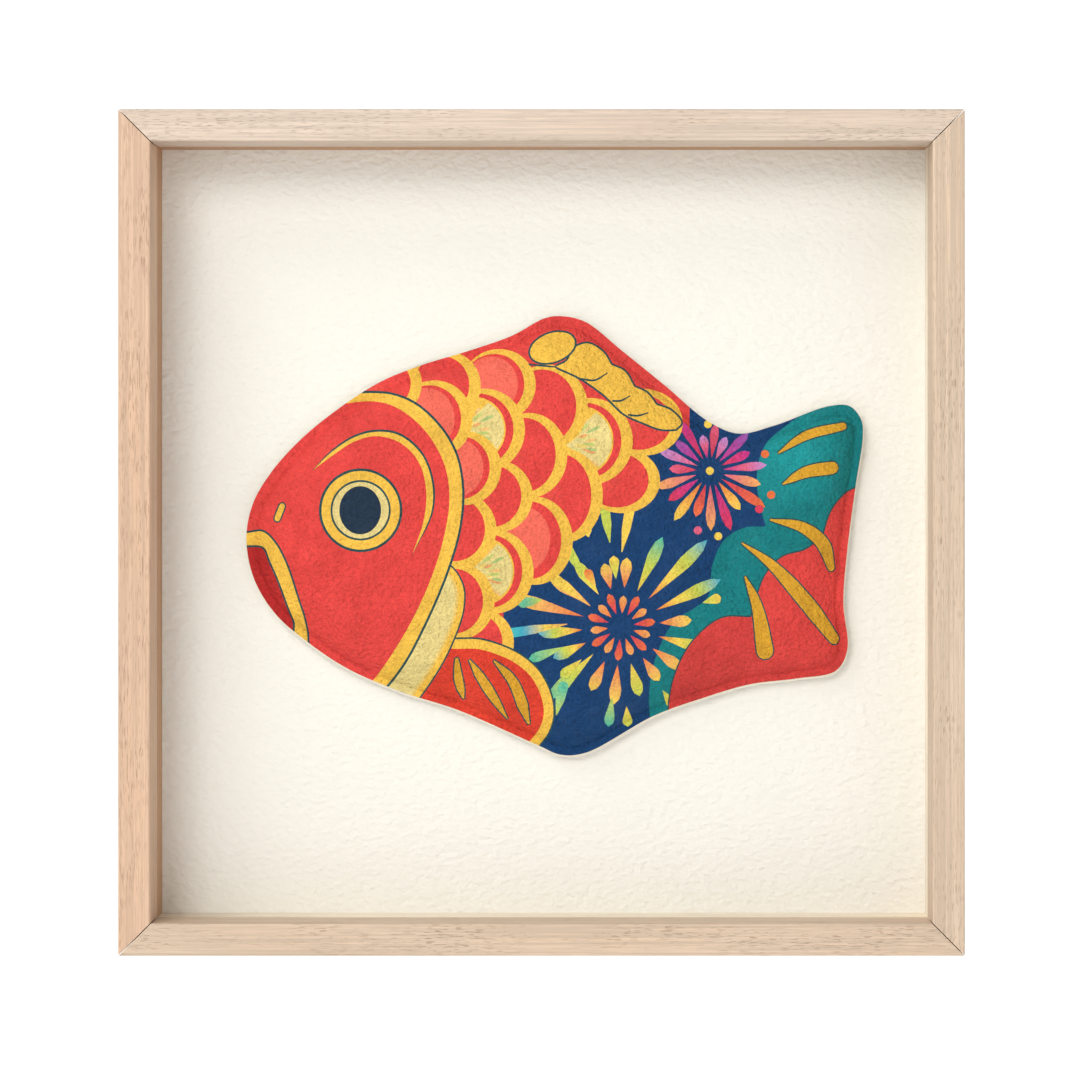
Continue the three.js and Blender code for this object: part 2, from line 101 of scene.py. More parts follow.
class CarpReliefSettings(bpy.types.PropertyGroup):
    """How the paper is moulded over its form."""

    rim_width: bpy.props.FloatProperty(
        name="Rim width", description="Flat rim round the relief", default=2.5 * MM, unit="LENGTH")
    shoulder_width: bpy.props.FloatProperty(
        name="Shoulder width", description="From the rim to the end of the rounded side",
        default=12 * MM, unit="LENGTH")
    shoulder_height: bpy.props.FloatProperty(
        name="Shoulder height", description="Height of the rounded side", default=4.7 * MM, unit="LENGTH")
    crown_height: bpy.props.FloatProperty(
        name="Crown height", description="Rise of the crown above its shoulder",
        default=1.6 * MM, unit="LENGTH")
    unevenness: bpy.props.FloatProperty(
        name="Unevenness", description="Depth of the hand-moulded waves", default=0.16 * MM, unit="LENGTH")
    sheet_thickness: bpy.props.FloatProperty(
        name="Printed sheet", description="Thickness of the printed paper",
        default=0.25 * MM, unit="LENGTH")


class CarpInkSettings(bpy.types.PropertyGroup):
    """The inks of the printed paper."""

    red: colour_prop("Red", "Body, scales and tail", srgb(225, 66, 62))
    coral: colour_prop("Coral", "Lighter scales", srgb(240, 106, 88))
    yellow: colour_prop("Yellow", "Scale borders, gill and fin", srgb(240, 190, 72))
    cream: colour_prop("Cream", "Gill crescent and eye ring", srgb(228, 208, 136))
    gold: colour_prop("Gold", "Strokes on the tail", srgb(214, 158, 40))
    navy: colour_prop("Navy", "Night sky behind the bursts", srgb(0, 58, 108))
    teal: colour_prop("Teal", "Tail", srgb(0, 122, 126))
    line: colour_prop("Outline", "Drawn lines", srgb(34, 76, 80))


class CarpWoodSettings(bpy.types.PropertyGroup):
    """The wood of the rails and strips."""

    warm: colour_prop("Warm rail", "The left rail's wood", srgb(204, 171, 144))
    pale: colour_prop("Pale rail", "The top rail's wood", srgb(204, 186, 169))
    middle: colour_prop("Middle rail", "The right and bottom rails' wood", srgb(202, 180, 157))
    # The strips are one wood. The left and top strips' colour is it darkened as painted shade, where they
    # face away from the light, and the right and bottom strips' colour is it made pale as painted light,
    # where they face the light.
    strip: colour_prop("Strip", "The left and top spacer strips' wood", srgb(198, 156, 120))
    strip_painted_lit: colour_prop("Pale strip", "The right and bottom strips' wood", srgb(250, 238, 220))


class CarpStageSettings(bpy.types.PropertyGroup):
    """The camera and the light."""

    distance: bpy.props.FloatProperty(
        name="Distance", description="Camera to the frame's front", default=0.6, unit="LENGTH")
    across: bpy.props.FloatProperty(
        name="Across", description="Camera to the right of the frame's middle",
        default=15 * MM, unit="LENGTH")
    height: bpy.props.FloatProperty(
        name="Height", description="Camera above the floor", default=112 * MM, unit="LENGTH")
    lens: bpy.props.FloatProperty(
        name="Lens", description="Focal length in millimetres on a 36 mm sensor", default=80.7)
    key: bpy.props.FloatProperty(
        name="Key light", description="Power of the soft lamp on the upper left",
        default=10.4, unit="POWER")
    fill: bpy.props.FloatProperty(
        name="Fill light", description="Strength of the even light all round", default=0.26)


SETTINGS = {
    "carp_relief": CarpReliefSettings,
    "carp_ink": CarpInkSettings,
    "carp_wood": CarpWoodSettings,
    "carp_stage": CarpStageSettings,
}

# ------------------------------------------------------------------ curves and outlines, in millimetres


def curve_through(points, step=0.8, closed=True):
    """A smooth curve through the points, as an array with about one row every step."""
    p = np.asarray(points, float)
    count = len(p)
    if not closed:
        p = np.vstack([2 * p[0] - p[1], p, 2 * p[-1] - p[-2]])
    rows = []
    for i in range(count if closed else count - 1):
        if closed:
            p0, p1, p2, p3 = (p[(i + k) % count] for k in (-1, 0, 1, 2))
        else:
            p0, p1, p2, p3 = p[i : i + 4]
        d0, d1, d2 = (max(np.linalg.norm(b - a), 1e-6) ** 0.5 for a, b in ((p0, p1), (p1, p2), (p2, p3)))
        m1 = ((p1 - p0) / d0 - (p2 - p0) / (d0 + d1) + (p2 - p1) / d1) * d1
        m2 = ((p2 - p1) / d1 - (p3 - p1) / (d1 + d2) + (p3 - p2) / d2) * d1
        pieces = max(2, math.ceil(np.linalg.norm(p2 - p1) / step))
        t = (np.arange(pieces) / pieces)[:, None]
        rows.append(
            (2 * t**3 - 3 * t**2 + 1) * p1
            + (t**3 - 2 * t**2 + t) * m1
            + (3 * t**2 - 2 * t**3) * p2
            + (t**3 - t**2) * m2
        )
    if not closed:
        rows.append(p[-2:-1])
    return np.vstack(rows)


def area_of(polygon):
    x, y = np.asarray(polygon).T
    return 0.5 * float(np.sum(x * np.roll(y, -1) - y * np.roll(x, -1)))


def grown(polygon, by):
    """The outline moved outwards by that much, or inwards where by is negative."""
    p = np.asarray(polygon, float)
    along = np.roll(p, -1, axis=0) - np.roll(p, 1, axis=0)
    along /= np.maximum(np.linalg.norm(along, axis=1), 1e-9)[:, None]
    side = 1 if area_of(p) > 0 else -1
    return p + by * side * np.column_stack([along[:, 1], -along[:, 0]])


def ellipse(u, v, along, across, angle=0.0, step=0.6):
    count = max(12, int(math.pi * (along + across) / step))
    a = np.arange(count) * 2 * math.pi / count
    x, y = along * np.cos(a), across * np.sin(a)
    t = math.radians(angle)
    return np.column_stack([u + x * math.cos(t) - y * math.sin(t), v + x * math.sin(t) + y * math.cos(t)])


def stroke(points, widths, step=0.7):
    """A drawn line through the points, as wide as widths says from its start to its end."""
    mid = curve_through(points, step, closed=False)
    along = np.gradient(mid, axis=0)
    along /= np.maximum(np.linalg.norm(along, axis=1), 1e-9)[:, None]
    side = np.column_stack([-along[:, 1], along[:, 0]])
    at = np.linspace(0, 1, len(mid))
    half = np.interp(at, np.linspace(0, 1, len(widths)), np.asarray(widths, float) / 2)[:, None]
    caps = []
    for end, sign in ((-1, 1), (0, -1)):
        radius = float(half[end, 0])
        turn = np.linspace(0, math.pi, 6)[1:-1][:, None] if radius > 0.3 else np.zeros((0, 1))
        round_it = np.cos(turn) * side[end] * sign + np.sin(turn) * along[end] * sign
        caps.append(mid[end] + radius * round_it)
    return np.vstack([mid + half * side, caps[0], (mid - half * side)[::-1], caps[1]])


def petal(centre, angle, inner, outer, width, blunt=0.62):
    """A teardrop that points at the centre, widest at the share blunt of its length."""
    t = np.linspace(0, 1, 9)
    nose = np.sqrt(np.clip(1 - ((t - blunt) / (1 - blunt)) ** 2, 0, 1))
    half = width / 2 * np.where(t < blunt, (t / blunt) ** 0.9, nose)
    reach = inner + (outer - inner) * t
    a = math.radians(angle)
    along, side = np.array([math.cos(a), math.sin(a)]), np.array([-math.sin(a), math.cos(a)])
    one = centre + reach[:, None] * along + half[:, None] * side
    two = centre + reach[:, None] * along - half[:, None] * side
    return np.vstack([one, two[-2:0:-1]])


CARP_OUTLINE = [
    (-79, -1), (-77.5, 8), (-73, 16), (-65.5, 24.5), (-56.5, 32), (-45, 39.5), (-34, 44),
    (-22.5, 47.5), (-11, 51.5), (-2.5, 56), (2, 56.5), (8, 55), (17.5, 47.5), (28, 39),
    (39.5, 29.5), (47, 26.5), (56, 28.5), (70, 33.5), (75.5, 33.5), (78.5, 30), (79, 26),
    (77, 12), (75, -3.5), (74, -17), (75, -29), (72, -34.5), (62, -36.5), (50, -38),
    (38, -41.5), (25.5, -46), (8, -55.5), (1.5, -56), (-4.5, -53.5), (-25, -44.5),
    (-39, -40), (-53, -34), (-63.5, -27), (-71.5, -20), (-77, -11),
]  # fmt: skip
CARP_RIM = curve_through(CARP_OUTLINE, 0.8)[::-1]
CARP_U = BACKING_LO.x / MM - CARP_RIM[:, 0].min()
CARP_V = BACKING_HI.z / MM - CARP_RIM[:, 1].max()

# ------------------------------------------------------------------ the relief's height

VALLEY_FROM, VALLEY_TO = np.array([47.0, 26.0]), np.array([44.0, -10.0])
VALLEY_SHARE, VALLEY_REACH = 0.35, 9.0
CROWN_REACH, DART_WIDTH, RIM_EASE = 16.0, 0.45, 1.5


def along_segment(q, a, b):
    """How far along a-b each point's nearest place is, from 0 to 1, and the distance to it."""
    d = b - a
    t = np.clip(((q - a) @ d) / max(float(d @ d), 1e-12), 0, 1)
    return t, np.hypot(*(q - a - t[:, None] * d).T)


def depth_inside(q):
    """How far each point lies inside the carp's outline, and 0 outside it."""
    nearest = np.full(len(q), np.inf)
    inside = np.zeros(len(q), bool)
    for a, b in zip(CARP_RIM, np.roll(CARP_RIM, -1, axis=0)):
        nearest = np.minimum(nearest, along_segment(q, a, b)[1])
        crosses = (a[1] > q[:, 1]) != (b[1] > q[:, 1])
        if crosses.any():
            inside ^= crosses & (q[:, 0] < a[0] + (q[:, 1] - a[1]) * (b[0] - a[0]) / (b[1] - a[1] + 1e-12))
    return np.where(inside, nearest, 0)


class DepthGrid:
    """The depth inside the outline on a square grid, read between its points."""

    def __init__(self, pitch=1.0, wide=92, high=68):
        self.pitch, self.wide, self.high = pitch, wide, high
        u, v = np.arange(-wide, wide + pitch, pitch), np.arange(-high, high + pitch, pitch)
        place = np.stack(np.meshgrid(u, v, indexing="ij"), -1)
        self.depth = depth_inside(place.reshape(-1, 2)).reshape(place.shape[:2])

    def at(self, q):
        x = np.clip((q[:, 0] + self.wide) / self.pitch, 0, self.depth.shape[0] - 1.001)
        y = np.clip((q[:, 1] + self.high) / self.pitch, 0, self.depth.shape[1] - 1.001)
        i, j = x.astype(int), y.astype(int)
        x, y = x - i, y - j
        d = self.depth
        low = d[i, j] * (1 - x) + d[i + 1, j] * x
        high = d[i, j + 1] * (1 - x) + d[i + 1, j + 1] * x
        return low * (1 - y) + high * y


GRID = DepthGrid()


def eased_depth(q):
    """Depth inside the outline with its ridges eased, so that the crown is smooth."""
    here = depth_inside(q)
    total, count = here.copy(), 1
    for radius in (2.5, 5.0, 7.5):
        for k in range(16):
            a = k * math.pi / 8 + radius
            total += GRID.at(q + radius * np.array([math.cos(a), math.sin(a)]))
            count += 1
    ease = np.clip(here / 12, 0, 1)
    ease = ease * ease * (3 - 2 * ease)
    return here * (1 - ease) + total / count * ease


def waves(q):
    """Slow hand-moulded unevenness, from -1 to 1."""
    u, v = q.T
    return (
        0.34 * np.sin(0.31 * u + 0.11 * v + 0.4) * np.sin(0.27 * v - 0.09 * u + 1.9)
        + 0.33 * np.sin(0.62 * v + 0.23 * u + 2.2) * np.sin(0.47 * u - 0.36 * v)
        + 0.33 * np.sin(0.93 * u - 0.41 * v + 0.7) * np.sin(0.88 * v + 0.52 * u + 1.1)
    )


# Where the paper was slit and lapped to take the form: from the rim inwards, and how deep.
DARTS = [
    ((-37.2, 43.0), (-36.4, 35.0), 0.55),
    ((-71.0, 19.4), (-61.5, 17.8), 0.35),
    ((1.8, 56.6), (1.4, 47.5), 0.6),
    ((2.0, -56.0), (3.2, -48.0), 0.6),
    ((-20.3, -46.6), (-19.0, -39.5), 0.35),
    ((75.5, -31.0), (67.5, -28.0), 0.5),
    ((78.5, 30.5), (71.0, 26.5), 0.45),
]


def relief_height(q, relief, inset=0.0, uneven=1.0):
    """The relief's height above its rim in millimetres, inset from its outer face by that much."""
    depth = eased_depth(q) - relief.rim_width / MM - inset
    t = np.clip(depth / (relief.shoulder_width / MM), 0, 1)
    shoulder = relief.shoulder_height / MM * (1 - (1 - t) ** 2) ** 0.7
    crown = relief.crown_height / MM * (1 - np.exp(-((np.maximum(depth, 0) / CROWN_REACH) ** 2)))
    away = along_segment(q, VALLEY_FROM, VALLEY_TO)[1] / VALLEY_REACH
    height = (shoulder + crown) * (1 - VALLEY_SHARE * np.exp(-away * away))
    height += uneven * relief.unevenness / MM * waves(q) * np.clip(depth / 4, 0, 1)
    if uneven:
        for start, end, deep in DARTS:
            share, off = along_segment(q, np.array(start), np.array(end))
            groove = deep * np.exp(-((off / DART_WIDTH) ** 2)) * (1 - share) ** 0.5
            height -= groove * np.clip((depth + RIM_EASE) / RIM_EASE, 0, 1)
    return np.where(depth > -RIM_EASE, np.maximum(height, 0), 0)


# ------------------------------------------------------------------ the printed design


def flat(colour):
    """The same ink all over a shape."""
    return lambda q: np.tile(np.asarray(colour, float), (len(q), 1))


def ramp(share, colours):
    """Inks blended in order, where share runs from 0 to 1."""
    table = np.asarray(colours, float)
    place = np.linspace(0, 1, len(table))
    return np.column_stack([np.interp(share, place, table[:, k]) for k in range(4)])


def round_ramp(centre, inner, outer, colours):
    """Inks that change with the distance from a centre."""
    centre = np.asarray(centre, float)
    return lambda q: ramp(np.clip((np.hypot(*(q - centre).T) - inner) / (outer - inner), 0, 1), colours)


def joined(*parts, step=0.8):
    """An outline of smooth runs that meet at corners. A run of two points is straight."""
    rows = []
    for part in parts:
        run = curve_through(part, step, closed=False) if len(part) > 2 else np.asarray(part, float)
        rows.append(run[:-1])
    return np.vstack(rows)


def beside(points, by, close, step=0.8):
    """The smooth run through the points, moved to its left by that much, and closed by the far points."""
    run = curve_through(points, step, closed=False)
    along = np.gradient(run, axis=0)
    along /= np.linalg.norm(along, axis=1)[:, None]
    return np.vstack([run + by * np.column_stack([-along[:, 1], along[:, 0]]), close])


def close_set(outline, most=1.2):
    """The outline with points added where its own are further apart than that, to follow the relief."""
    rows = []
    for a, b in zip(outline, np.roll(outline, -1, axis=0)):
        pieces = max(1, math.ceil(np.hypot(*(b - a)) / most))
        rows.append(a + (b - a) * (np.arange(pieces) / pieces)[:, None])
    return np.vstack(rows)


class Print:
    """The design's shapes in the order they are laid down, each with its ink."""

    def __init__(self, ink):
        names = ("red", "coral", "yellow", "cream", "gold", "navy", "teal", "line")
        self.ink = {name: np.array(getattr(ink, name)) for name in names}
        self.shapes = []

    def add(self, outline, ink):
        outline = np.asarray(outline, float)
        if area_of(outline) < 0:
            outline = outline[::-1]
        outline = close_set(outline)
        if isinstance(ink, str):
            ink = flat(self.ink[ink])
        self.shapes.append((outline, ink))

    def lined(self, outline, ink, width=0.5):
        """A shape with a drawn line all round it."""
        self.add(grown(outline, width), "line")
        self.add(outline, ink)


DEEP_RED = srgb(182, 34, 34)
FIN_RED = srgb(218, 58, 38)
PUPIL = srgb(22, 46, 68)
# The lighter teal below is a painted highlight, where the tail's dome faces the light.
TEAL_PAINTED_HIGHLIGHT = srgb(16, 148, 152)
ORANGE, PEACH, LIME = srgb(232, 112, 62), srgb(240, 170, 96), srgb(196, 208, 84)
SUN, SKY, MINT = srgb(244, 206, 84), srgb(60, 168, 200), srgb(70, 186, 160)
VIOLET, MAGENTA, PINK = srgb(146, 84, 168), srgb(200, 52, 140), srgb(226, 96, 128)
CRIMSON, LAVENDER = srgb(214, 56, 84), srgb(190, 140, 206)

# Each scale: centre u and v, half length, half height, and how it is filled. The tail's come first, so that
# each row laps over the one behind it.
SCALES = [
    (21.3, 29.5, 8.4, 7.2, "plain"),
    (15.8, 14.6, 8.0, 6.9, "plain"),
    (7.9, 24.6, 9.0, 9.6, "fan"),
    (1.4, 10.8, 7.9, 10.5, "plain"),
    (-3.2, 33.2, 8.7, 9.5, "plain"),
    (-6.2, -0.6, 7.9, 9.8, "rimmed"),
    (-7.7, 21.0, 8.0, 9.4, "plain"),
    (-15.6, 38.9, 7.9, 8.0, "light"),
    (-19.4, -26.4, 6.2, 7.0, "plain"),
    (-16.6, -8.4, 8.4, 9.3, "fan"),
    (-15.8, 10.6, 7.4, 7.8, "plain"),
    (-19.2, 27.4, 8.8, 9.2, "fan"),
    (-29.0, 38.6, 7.3, 7.8, "plain"),
    (-25.4, -16.0, 7.3, 8.2, "plain"),
    (-25.4, 2.2, 7.8, 8.1, "plain"),
    (-23.9, 17.8, 7.5, 8.0, "light"),
    (-32.0, 30.2, 8.3, 8.6, "light"),
    (-44.2, 39.0, 7.4, 7.2, "plain"),
]


def paint_fan(p, u, v, along, across):
    """A pale wedge with short rays of green and orange, inside a scale."""
    focus = np.array([u - 0.62 * along, v - 0.08 * across])
    turn = np.radians(np.linspace(-56, 62, 22))
    edge = np.column_stack([u - 1.2 + (along - 1.2) * np.cos(turn), v + (across - 1.5) * np.sin(turn)])
    p.add(np.vstack([focus, edge]), "cream")
    inks = [SUN, srgb(150, 190, 84), PEACH, srgb(206, 204, 110), ORANGE, srgb(96, 180, 104)]
    for k in range(15):
        angle = -44 + 6.4 * k + 2.2 * math.sin(5.1 * k)
        start = 2.6 + 1.6 * (k % 3) + 0.5 * math.sin(3.7 * k)
        reach = start + 3.4 + 1.1 * math.cos(2.9 * k)
        tone = 0.55 * np.array(inks[k % len(inks)]) + 0.45 * p.ink["cream"]
        p.add(petal(focus, angle, start, min(reach, 0.93 * along + 2.2), 0.85, 0.5), flat(tone))


def paint_scales(p):
    """Lapped scales, each with a yellow border that is widest at its nose."""
    red, coral = p.ink["red"], p.ink["coral"]
    for u, v, along, across, fill in SCALES:
        p.add(ellipse(u + 1.25, v - 0.1, along + 1.65, across + 1.35), "yellow")
        lit = red * 0.72 + coral * 0.28
        body = round_ramp((u - 0.5 * along, v), 0, 1.4 * along, [lit, red, red])
        p.add(ellipse(u, v, along, across), body)
        if fill == "light":
            glow = round_ramp((u, v), 0, along, [coral * 1.05, coral])
            p.add(ellipse(u - 0.8, v, along - 0.8, across - 0.7), glow)
        if fill == "rimmed":
            p.add(ellipse(u - 1.3, v + 0.3, along - 1.5, across - 1.7), "coral")
        if fill == "fan":
            p.add(ellipse(u - 1.0, v, along - 1.0, across - 0.9), "yellow")
            paint_fan(p, u, v, along, across)


def paint_sky(p):
    """The night sky behind the bursts, and the tail's two fields."""
    night = [
        (34.5, 42), (34.3, 28), (31, 26), (18, 18), (0, 4), (-13, -18), (-12, -62), (60, -62), (72, 44),
    ]  # fmt: skip
    p.add(night, "navy")
    near_top = [(66.2, 33.6), (58.3, 28), (53.9, 24), (51.7, 18.7), (51.4, 13), (52.4, 6.9), (53.6, 2.9)]
    below = [
        (53.6, 2.9), (48, 2.5), (43, -0.6), (40, -7), (38.9, -14.8), (30, -21.6), (25.4, -31), (24, -39.2),
        (24.5, -50),
    ]  # fmt: skip
    beyond = [(24.5, -50), (90, -60)], [(90, -60), (90, 45)], [(90, 45), (66.2, 33.6)]
    field = joined(near_top, below, *beyond)
    # The teal field is painted lighter round (60, 20): a painted highlight where the tail's dome faces the
    # light.
    p.add(field, round_ramp((60, 20), 2, 26, [TEAL_PAINTED_HIGHLIGHT, p.ink["teal"], p.ink["teal"]]))


BURST_SMALL, BURST_LARGE = np.array([39.4, 17.0]), np.array([16.8, -22.4])


def paint_ring(p, centre, start, inner, reaches, width, tones):
    """One ring of petals, evenly turned round the centre, with their inks changing as they go out."""
    for k, reach in enumerate(reaches):
        angle = start + 360 * k / len(reaches)
        tone = tones[k % len(tones)]
        wide = width * (0.75 + 0.25 * reach / max(reaches))
        p.add(petal(centre, angle, inner, reach, wide), round_ramp(centre, inner, reach, tone))


def paint_bursts(p):
    """Two generic firework bursts of plain petals."""
    cool = [
        [MAGENTA, PINK, LAVENDER], [CRIMSON, MAGENTA], [MAGENTA, VIOLET], [PINK, LAVENDER], [CRIMSON, PINK],
    ]  # fmt: skip
    warm = [[CRIMSON, ORANGE], [PINK, PEACH], [MAGENTA, CRIMSON], [ORANGE, SUN]]
    upper = (14.6, 11.4, 14.0, 9.8, 12.2, 9.4, 14.6, 11.8, 14.2, 10.4)
    lower = (14.4, 13.0, 15.6, 12.2, 15.2, 16.0, 12.6, 16.8, 13.4)
    for k, reach in enumerate(upper):
        angle, tone = 6 + 19 * k, cool[k % len(cool)]
        p.add(petal(BURST_SMALL, angle, 3.4, reach, 2.3), round_ramp(BURST_SMALL, 3.4, reach, tone))
    for k, reach in enumerate(lower):
        angle, tone = 197 + 18.5 * k, warm[(k + 1) % len(warm)]
        p.add(petal(BURST_SMALL, angle, 3.6, reach, 2.5), round_ramp(BURST_SMALL, 3.6, reach, tone))
    p.add(ellipse(*BURST_SMALL, 1.05, 1.05), flat(SUN))

    paint_ring(p, BURST_LARGE, 8, 3.3, (8.8, 7.8) * 7, 2.0, [[CRIMSON, ORANGE], [ORANGE, PEACH]])
    long_tone, short_tone = [ORANGE, SUN, LIME, SKY], [ORANGE, PEACH, SUN]
    green_tone, lime_tone = [SUN, LIME, MINT], [SUN, LIME]
    tones = [short_tone, long_tone, long_tone, green_tone, short_tone, short_tone, lime_tone, short_tone]
    reaches = (18, 28, 31, 25, 17.5, 16.5, 20, 22, 30, 21, 19, 26.5, 18, 20, 18.5, 17, 19, 24)
    paint_ring(p, BURST_LARGE, 5, 9.8, reaches, 3.3, tones)
    for angle, inner, outer, tone in (
        (-6, 21, 28, [PEACH, ORANGE]), (16, 21.5, 26.5, [LIME, SUN]), (-86, 20.5, 26, [SUN, LIME]),
        (-97, 18, 26, [LIME, MINT]), (-57, 19.5, 25, [LIME, SUN]), (-160, 15, 25, [LIME, MINT]),
        (-140, 13, 20, [SUN, LIME]), (96, 12, 18, [LIME, SUN]), (122, 12, 17, [SUN, ORANGE]),
    ):  # fmt: skip
        tone = round_ramp(BURST_LARGE, inner, outer, tone)
        p.add(petal(BURST_LARGE, angle, inner, outer, 2.6, 0.7), tone)
    dots = [((39.1, 29), SUN), ((53.5, 21.3), ORANGE), ((54.9, 10.9), ORANGE), ((51.9, 7.3), CRIMSON)]
    for (u, v), tone in dots + [((36.3, 1.9), PINK), ((41.5, 0.4), SUN)]:
        p.add(ellipse(u, v, 1.05, 1.05), flat(tone))


def paint_sparks(p):
    """Points of light that show from under the scales."""
    for start, end, tone in (
        ((12.6, 8.0), (14, -1.2), [LIME, LIME]), ((19.2, 8.0), (17, -3.6), [SUN, SUN]),
        ((2.2, -0.8), (7.9, -10.6), [LIME, LIME]), ((8.0, 3.0), (8.6, 0.2), [SUN, SUN]),
        ((-1.5, -9.0), (9.0, -17.2), [SUN, SUN, PEACH]), ((-8, -16.4), (-3.2, -15.6), [MINT, LIME]),
        ((2.2, -37.6), (0.4, -45), [MINT, LIME]), ((-13, -24.4), (3.2, -21.8), [MINT, SKY, SUN, PEACH]),
    ):  # fmt: skip
        start, end = np.array(start), np.array(end)
        tone = round_ramp(start, 0, max(np.hypot(*(end - start)), 1), tone)
        p.add(stroke([start, (start + end) / 2, end], [2.6, 2.2, 0.2]), tone)


def paint_tail(p):
    """The tail's red lobes and its gold strokes."""
    upper = [(79.5, 13.6), (74.7, 11.6), (70.6, 7.2), (68.2, 0.6)]
    middle = [(68.2, 0.6), (63.8, -2.9), (57.6, -4.9), (53.4, -9.5), (49.8, -20.1)]
    lower = [(49.8, -20.1), (42.2, -20.4), (34.8, -26.5), (30.2, -36), (28.6, -50)]
    lobes = joined(upper, middle, lower, [(28.6, -50), (90, -60)], [(90, -60), (79.5, 13.6)])
    p.lined(lobes, round_ramp((72, -12), 4, 40, [p.ink["red"], p.ink["red"] * 0.8]), 0.36)
    strokes = [
        ([(56.8, 21.5), (64, 26.0), (73.4, 28.4)], [0.3, 1.6, 2.3, 2.3, 1.9]),
        ([(57.8, 13.6), (63.6, 16.6), (70.6, 17.8)], [0.3, 2.0, 2.8, 3.2, 3.1]),
        ([(54.6, 4.6), (63, 2.6), (68.2, -1.6), (70.4, -7.6)], [0.4, 2.1, 3.1, 3.4, 1.9]),
        ([(47.5, -1.3), (55, -6.8), (64, -16.6), (71.2, -25.8)], [0.3, 2.2, 3.5, 3.8, 2.7]),
        ([(48.3, -9.8), (51.2, -17), (53.4, -28.8)], [0.4, 2.0, 2.9, 3.7, 4.2]),
    ]
    for points, widths in strokes:
        p.lined(stroke(points, widths), "gold", 0.34)


def paint_pectoral_fin(p):
    edge = [
        (-25.5, -25.2), (-18.9, -25.3), (-13.3, -26.9), (-8.5, -29.2), (-3.7, -33.4), (-0.6, -39.5),
        (0.1, -45), (-1.5, -50.2), (-6, -56),
    ]  # fmt: skip
    hidden = [(-20, -64), (-46, -50), (-32, -27)]
    for inset, ink in ((0, "line"), (0.45, "yellow"), (2.9, flat(FIN_RED))):
        p.add(beside(edge, -inset, hidden), ink)
    slits = [
        ([(-24.8, -30.9), (-24.4, -36), (-23.3, -41)], [0.9, 1.7, 2.2, 1.9, 0.4]),
        ([(-21.6, -30.9), (-17.4, -37.6), (-12.1, -46.2)], [0.3, 2.1, 2.5, 1.8, 0.2]),
        ([(-15.4, -31.1), (-10.6, -36.4), (-6.6, -47.4)], [0.3, 2.0, 2.6, 2.7, 0.5]),
    ]
    for points, widths in slits:
        p.lined(stroke(points, widths), "gold", 0.36)


def paint_gill(p):
    """The cream crescent behind the head and the gill's yellow band, with its line on the outer side."""
    edge = [
        (-26.5, -6.4), (-24.3, -8.9), (-22.6, -13), (-22.9, -19), (-24.9, -25), (-27.9, -31.4),
        (-31.4, -37), (-37, -44.6),
    ]  # fmt: skip
    hidden = [(-52, -48), (-34, -16)]
    soft = flat(0.5 * p.ink["yellow"] + 0.5 * p.ink["cream"])
    for inset, ink in ((0, "line"), (0.42, "yellow"), (1.9, soft), (2.6, "cream")):
        p.add(beside(edge, -inset, hidden), ink)
    outer = [
        (-55, 36.4), (-49.2, 36.9), (-42, 36.5), (-35.5, 33.9), (-29.2, 28.2), (-25, 21), (-23.4, 12),
        (-24.3, 1.7), (-27.8, -9.8), (-33, -21.8), (-38.4, -31.8), (-46.5, -42),
    ]  # fmt: skip
    inner = [
        (-50.5, -41), (-44.1, -33.5), (-37.4, -23.2), (-31.9, -11.9), (-28.2, -0.6), (-26.6, 10),
        (-28, 18.9), (-33.4, 27.8), (-40.9, 33.4), (-47.1, 34.8), (-57, 33.8),
    ]  # fmt: skip
    p.add(beside(outer, 0, [(-90, -60), (-90, 45)]), "red")
    p.add(stroke(outer, [1.2] * 4), "line")
    p.add(joined(outer, [outer[-1], inner[0]], inner, [inner[-1], outer[0]]), "yellow")


def paint_face(p):
    """Eye, brow, nostril and mouth."""
    brow_out = [
        (-61.4, 17.2), (-56.9, 21.6), (-50.7, 25.6), (-45, 26.9), (-39.2, 25.9), (-33.6, 21), (-31, 13.8),
        (-31.2, 6.5), (-35.9, -4),
    ]  # fmt: skip
    brow_in = [
        (-35.9, -4), (-33.1, 4.5), (-32.5, 12), (-34.4, 19.2), (-39, 24), (-45, 25.8), (-50.7, 24.5),
        (-56.8, 20.6), (-61.4, 17.2),
    ]  # fmt: skip
    p.add(stroke(brow_out, [0.2, 1.0, 1.15, 1.15, 1.1, 1.1, 0.8, 0.1]), "line")
    p.add(joined(brow_out, brow_in), "yellow")
    eye = (-49.1, 7.0)
    for radius, ink in ((10.6, "line"), (9.95, "yellow"), (7.65, "line"), (7.15, "cream")):
        p.add(ellipse(*eye, radius, radius, step=0.5), ink)
    p.add(ellipse(eye[0] - 0.1, eye[1], 5.3, 6.1, step=0.5), flat(PUPIL))
    p.lined(stroke([(-69.3, 8.0), (-70.5, 4.9)], [1.5, 1.5]), "yellow", 0.38)
    lip = [
        (-84, 1.0), (-79.2, 1.1), (-74.4, 1.5), (-71.2, -1.2), (-68.2, -6.6), (-65.4, -15.2), (-63.6, -22),
        (-63.2, -32),
    ]  # fmt: skip
    gape = [
        (-66.4, -31), (-66.6, -24.4), (-66.5, -22), (-67.9, -17.6), (-70.2, -11), (-72.4, -6),
        (-74.2, -2.4), (-79.2, -2.0), (-84, -2.0),
    ]  # fmt: skip
    mouth = joined(gape, [(-84, -2), (-90, -30)], [(-90, -30), gape[0]])
    p.add(mouth, flat(DEEP_RED))
    p.add(stroke(lip, [1.05] * 3), "line")
    p.add(stroke(gape, [1.05] * 3), "line")
    p.add(joined(lip, [lip[-1], gape[0]], gape, [gape[-1], lip[0]]), "yellow")


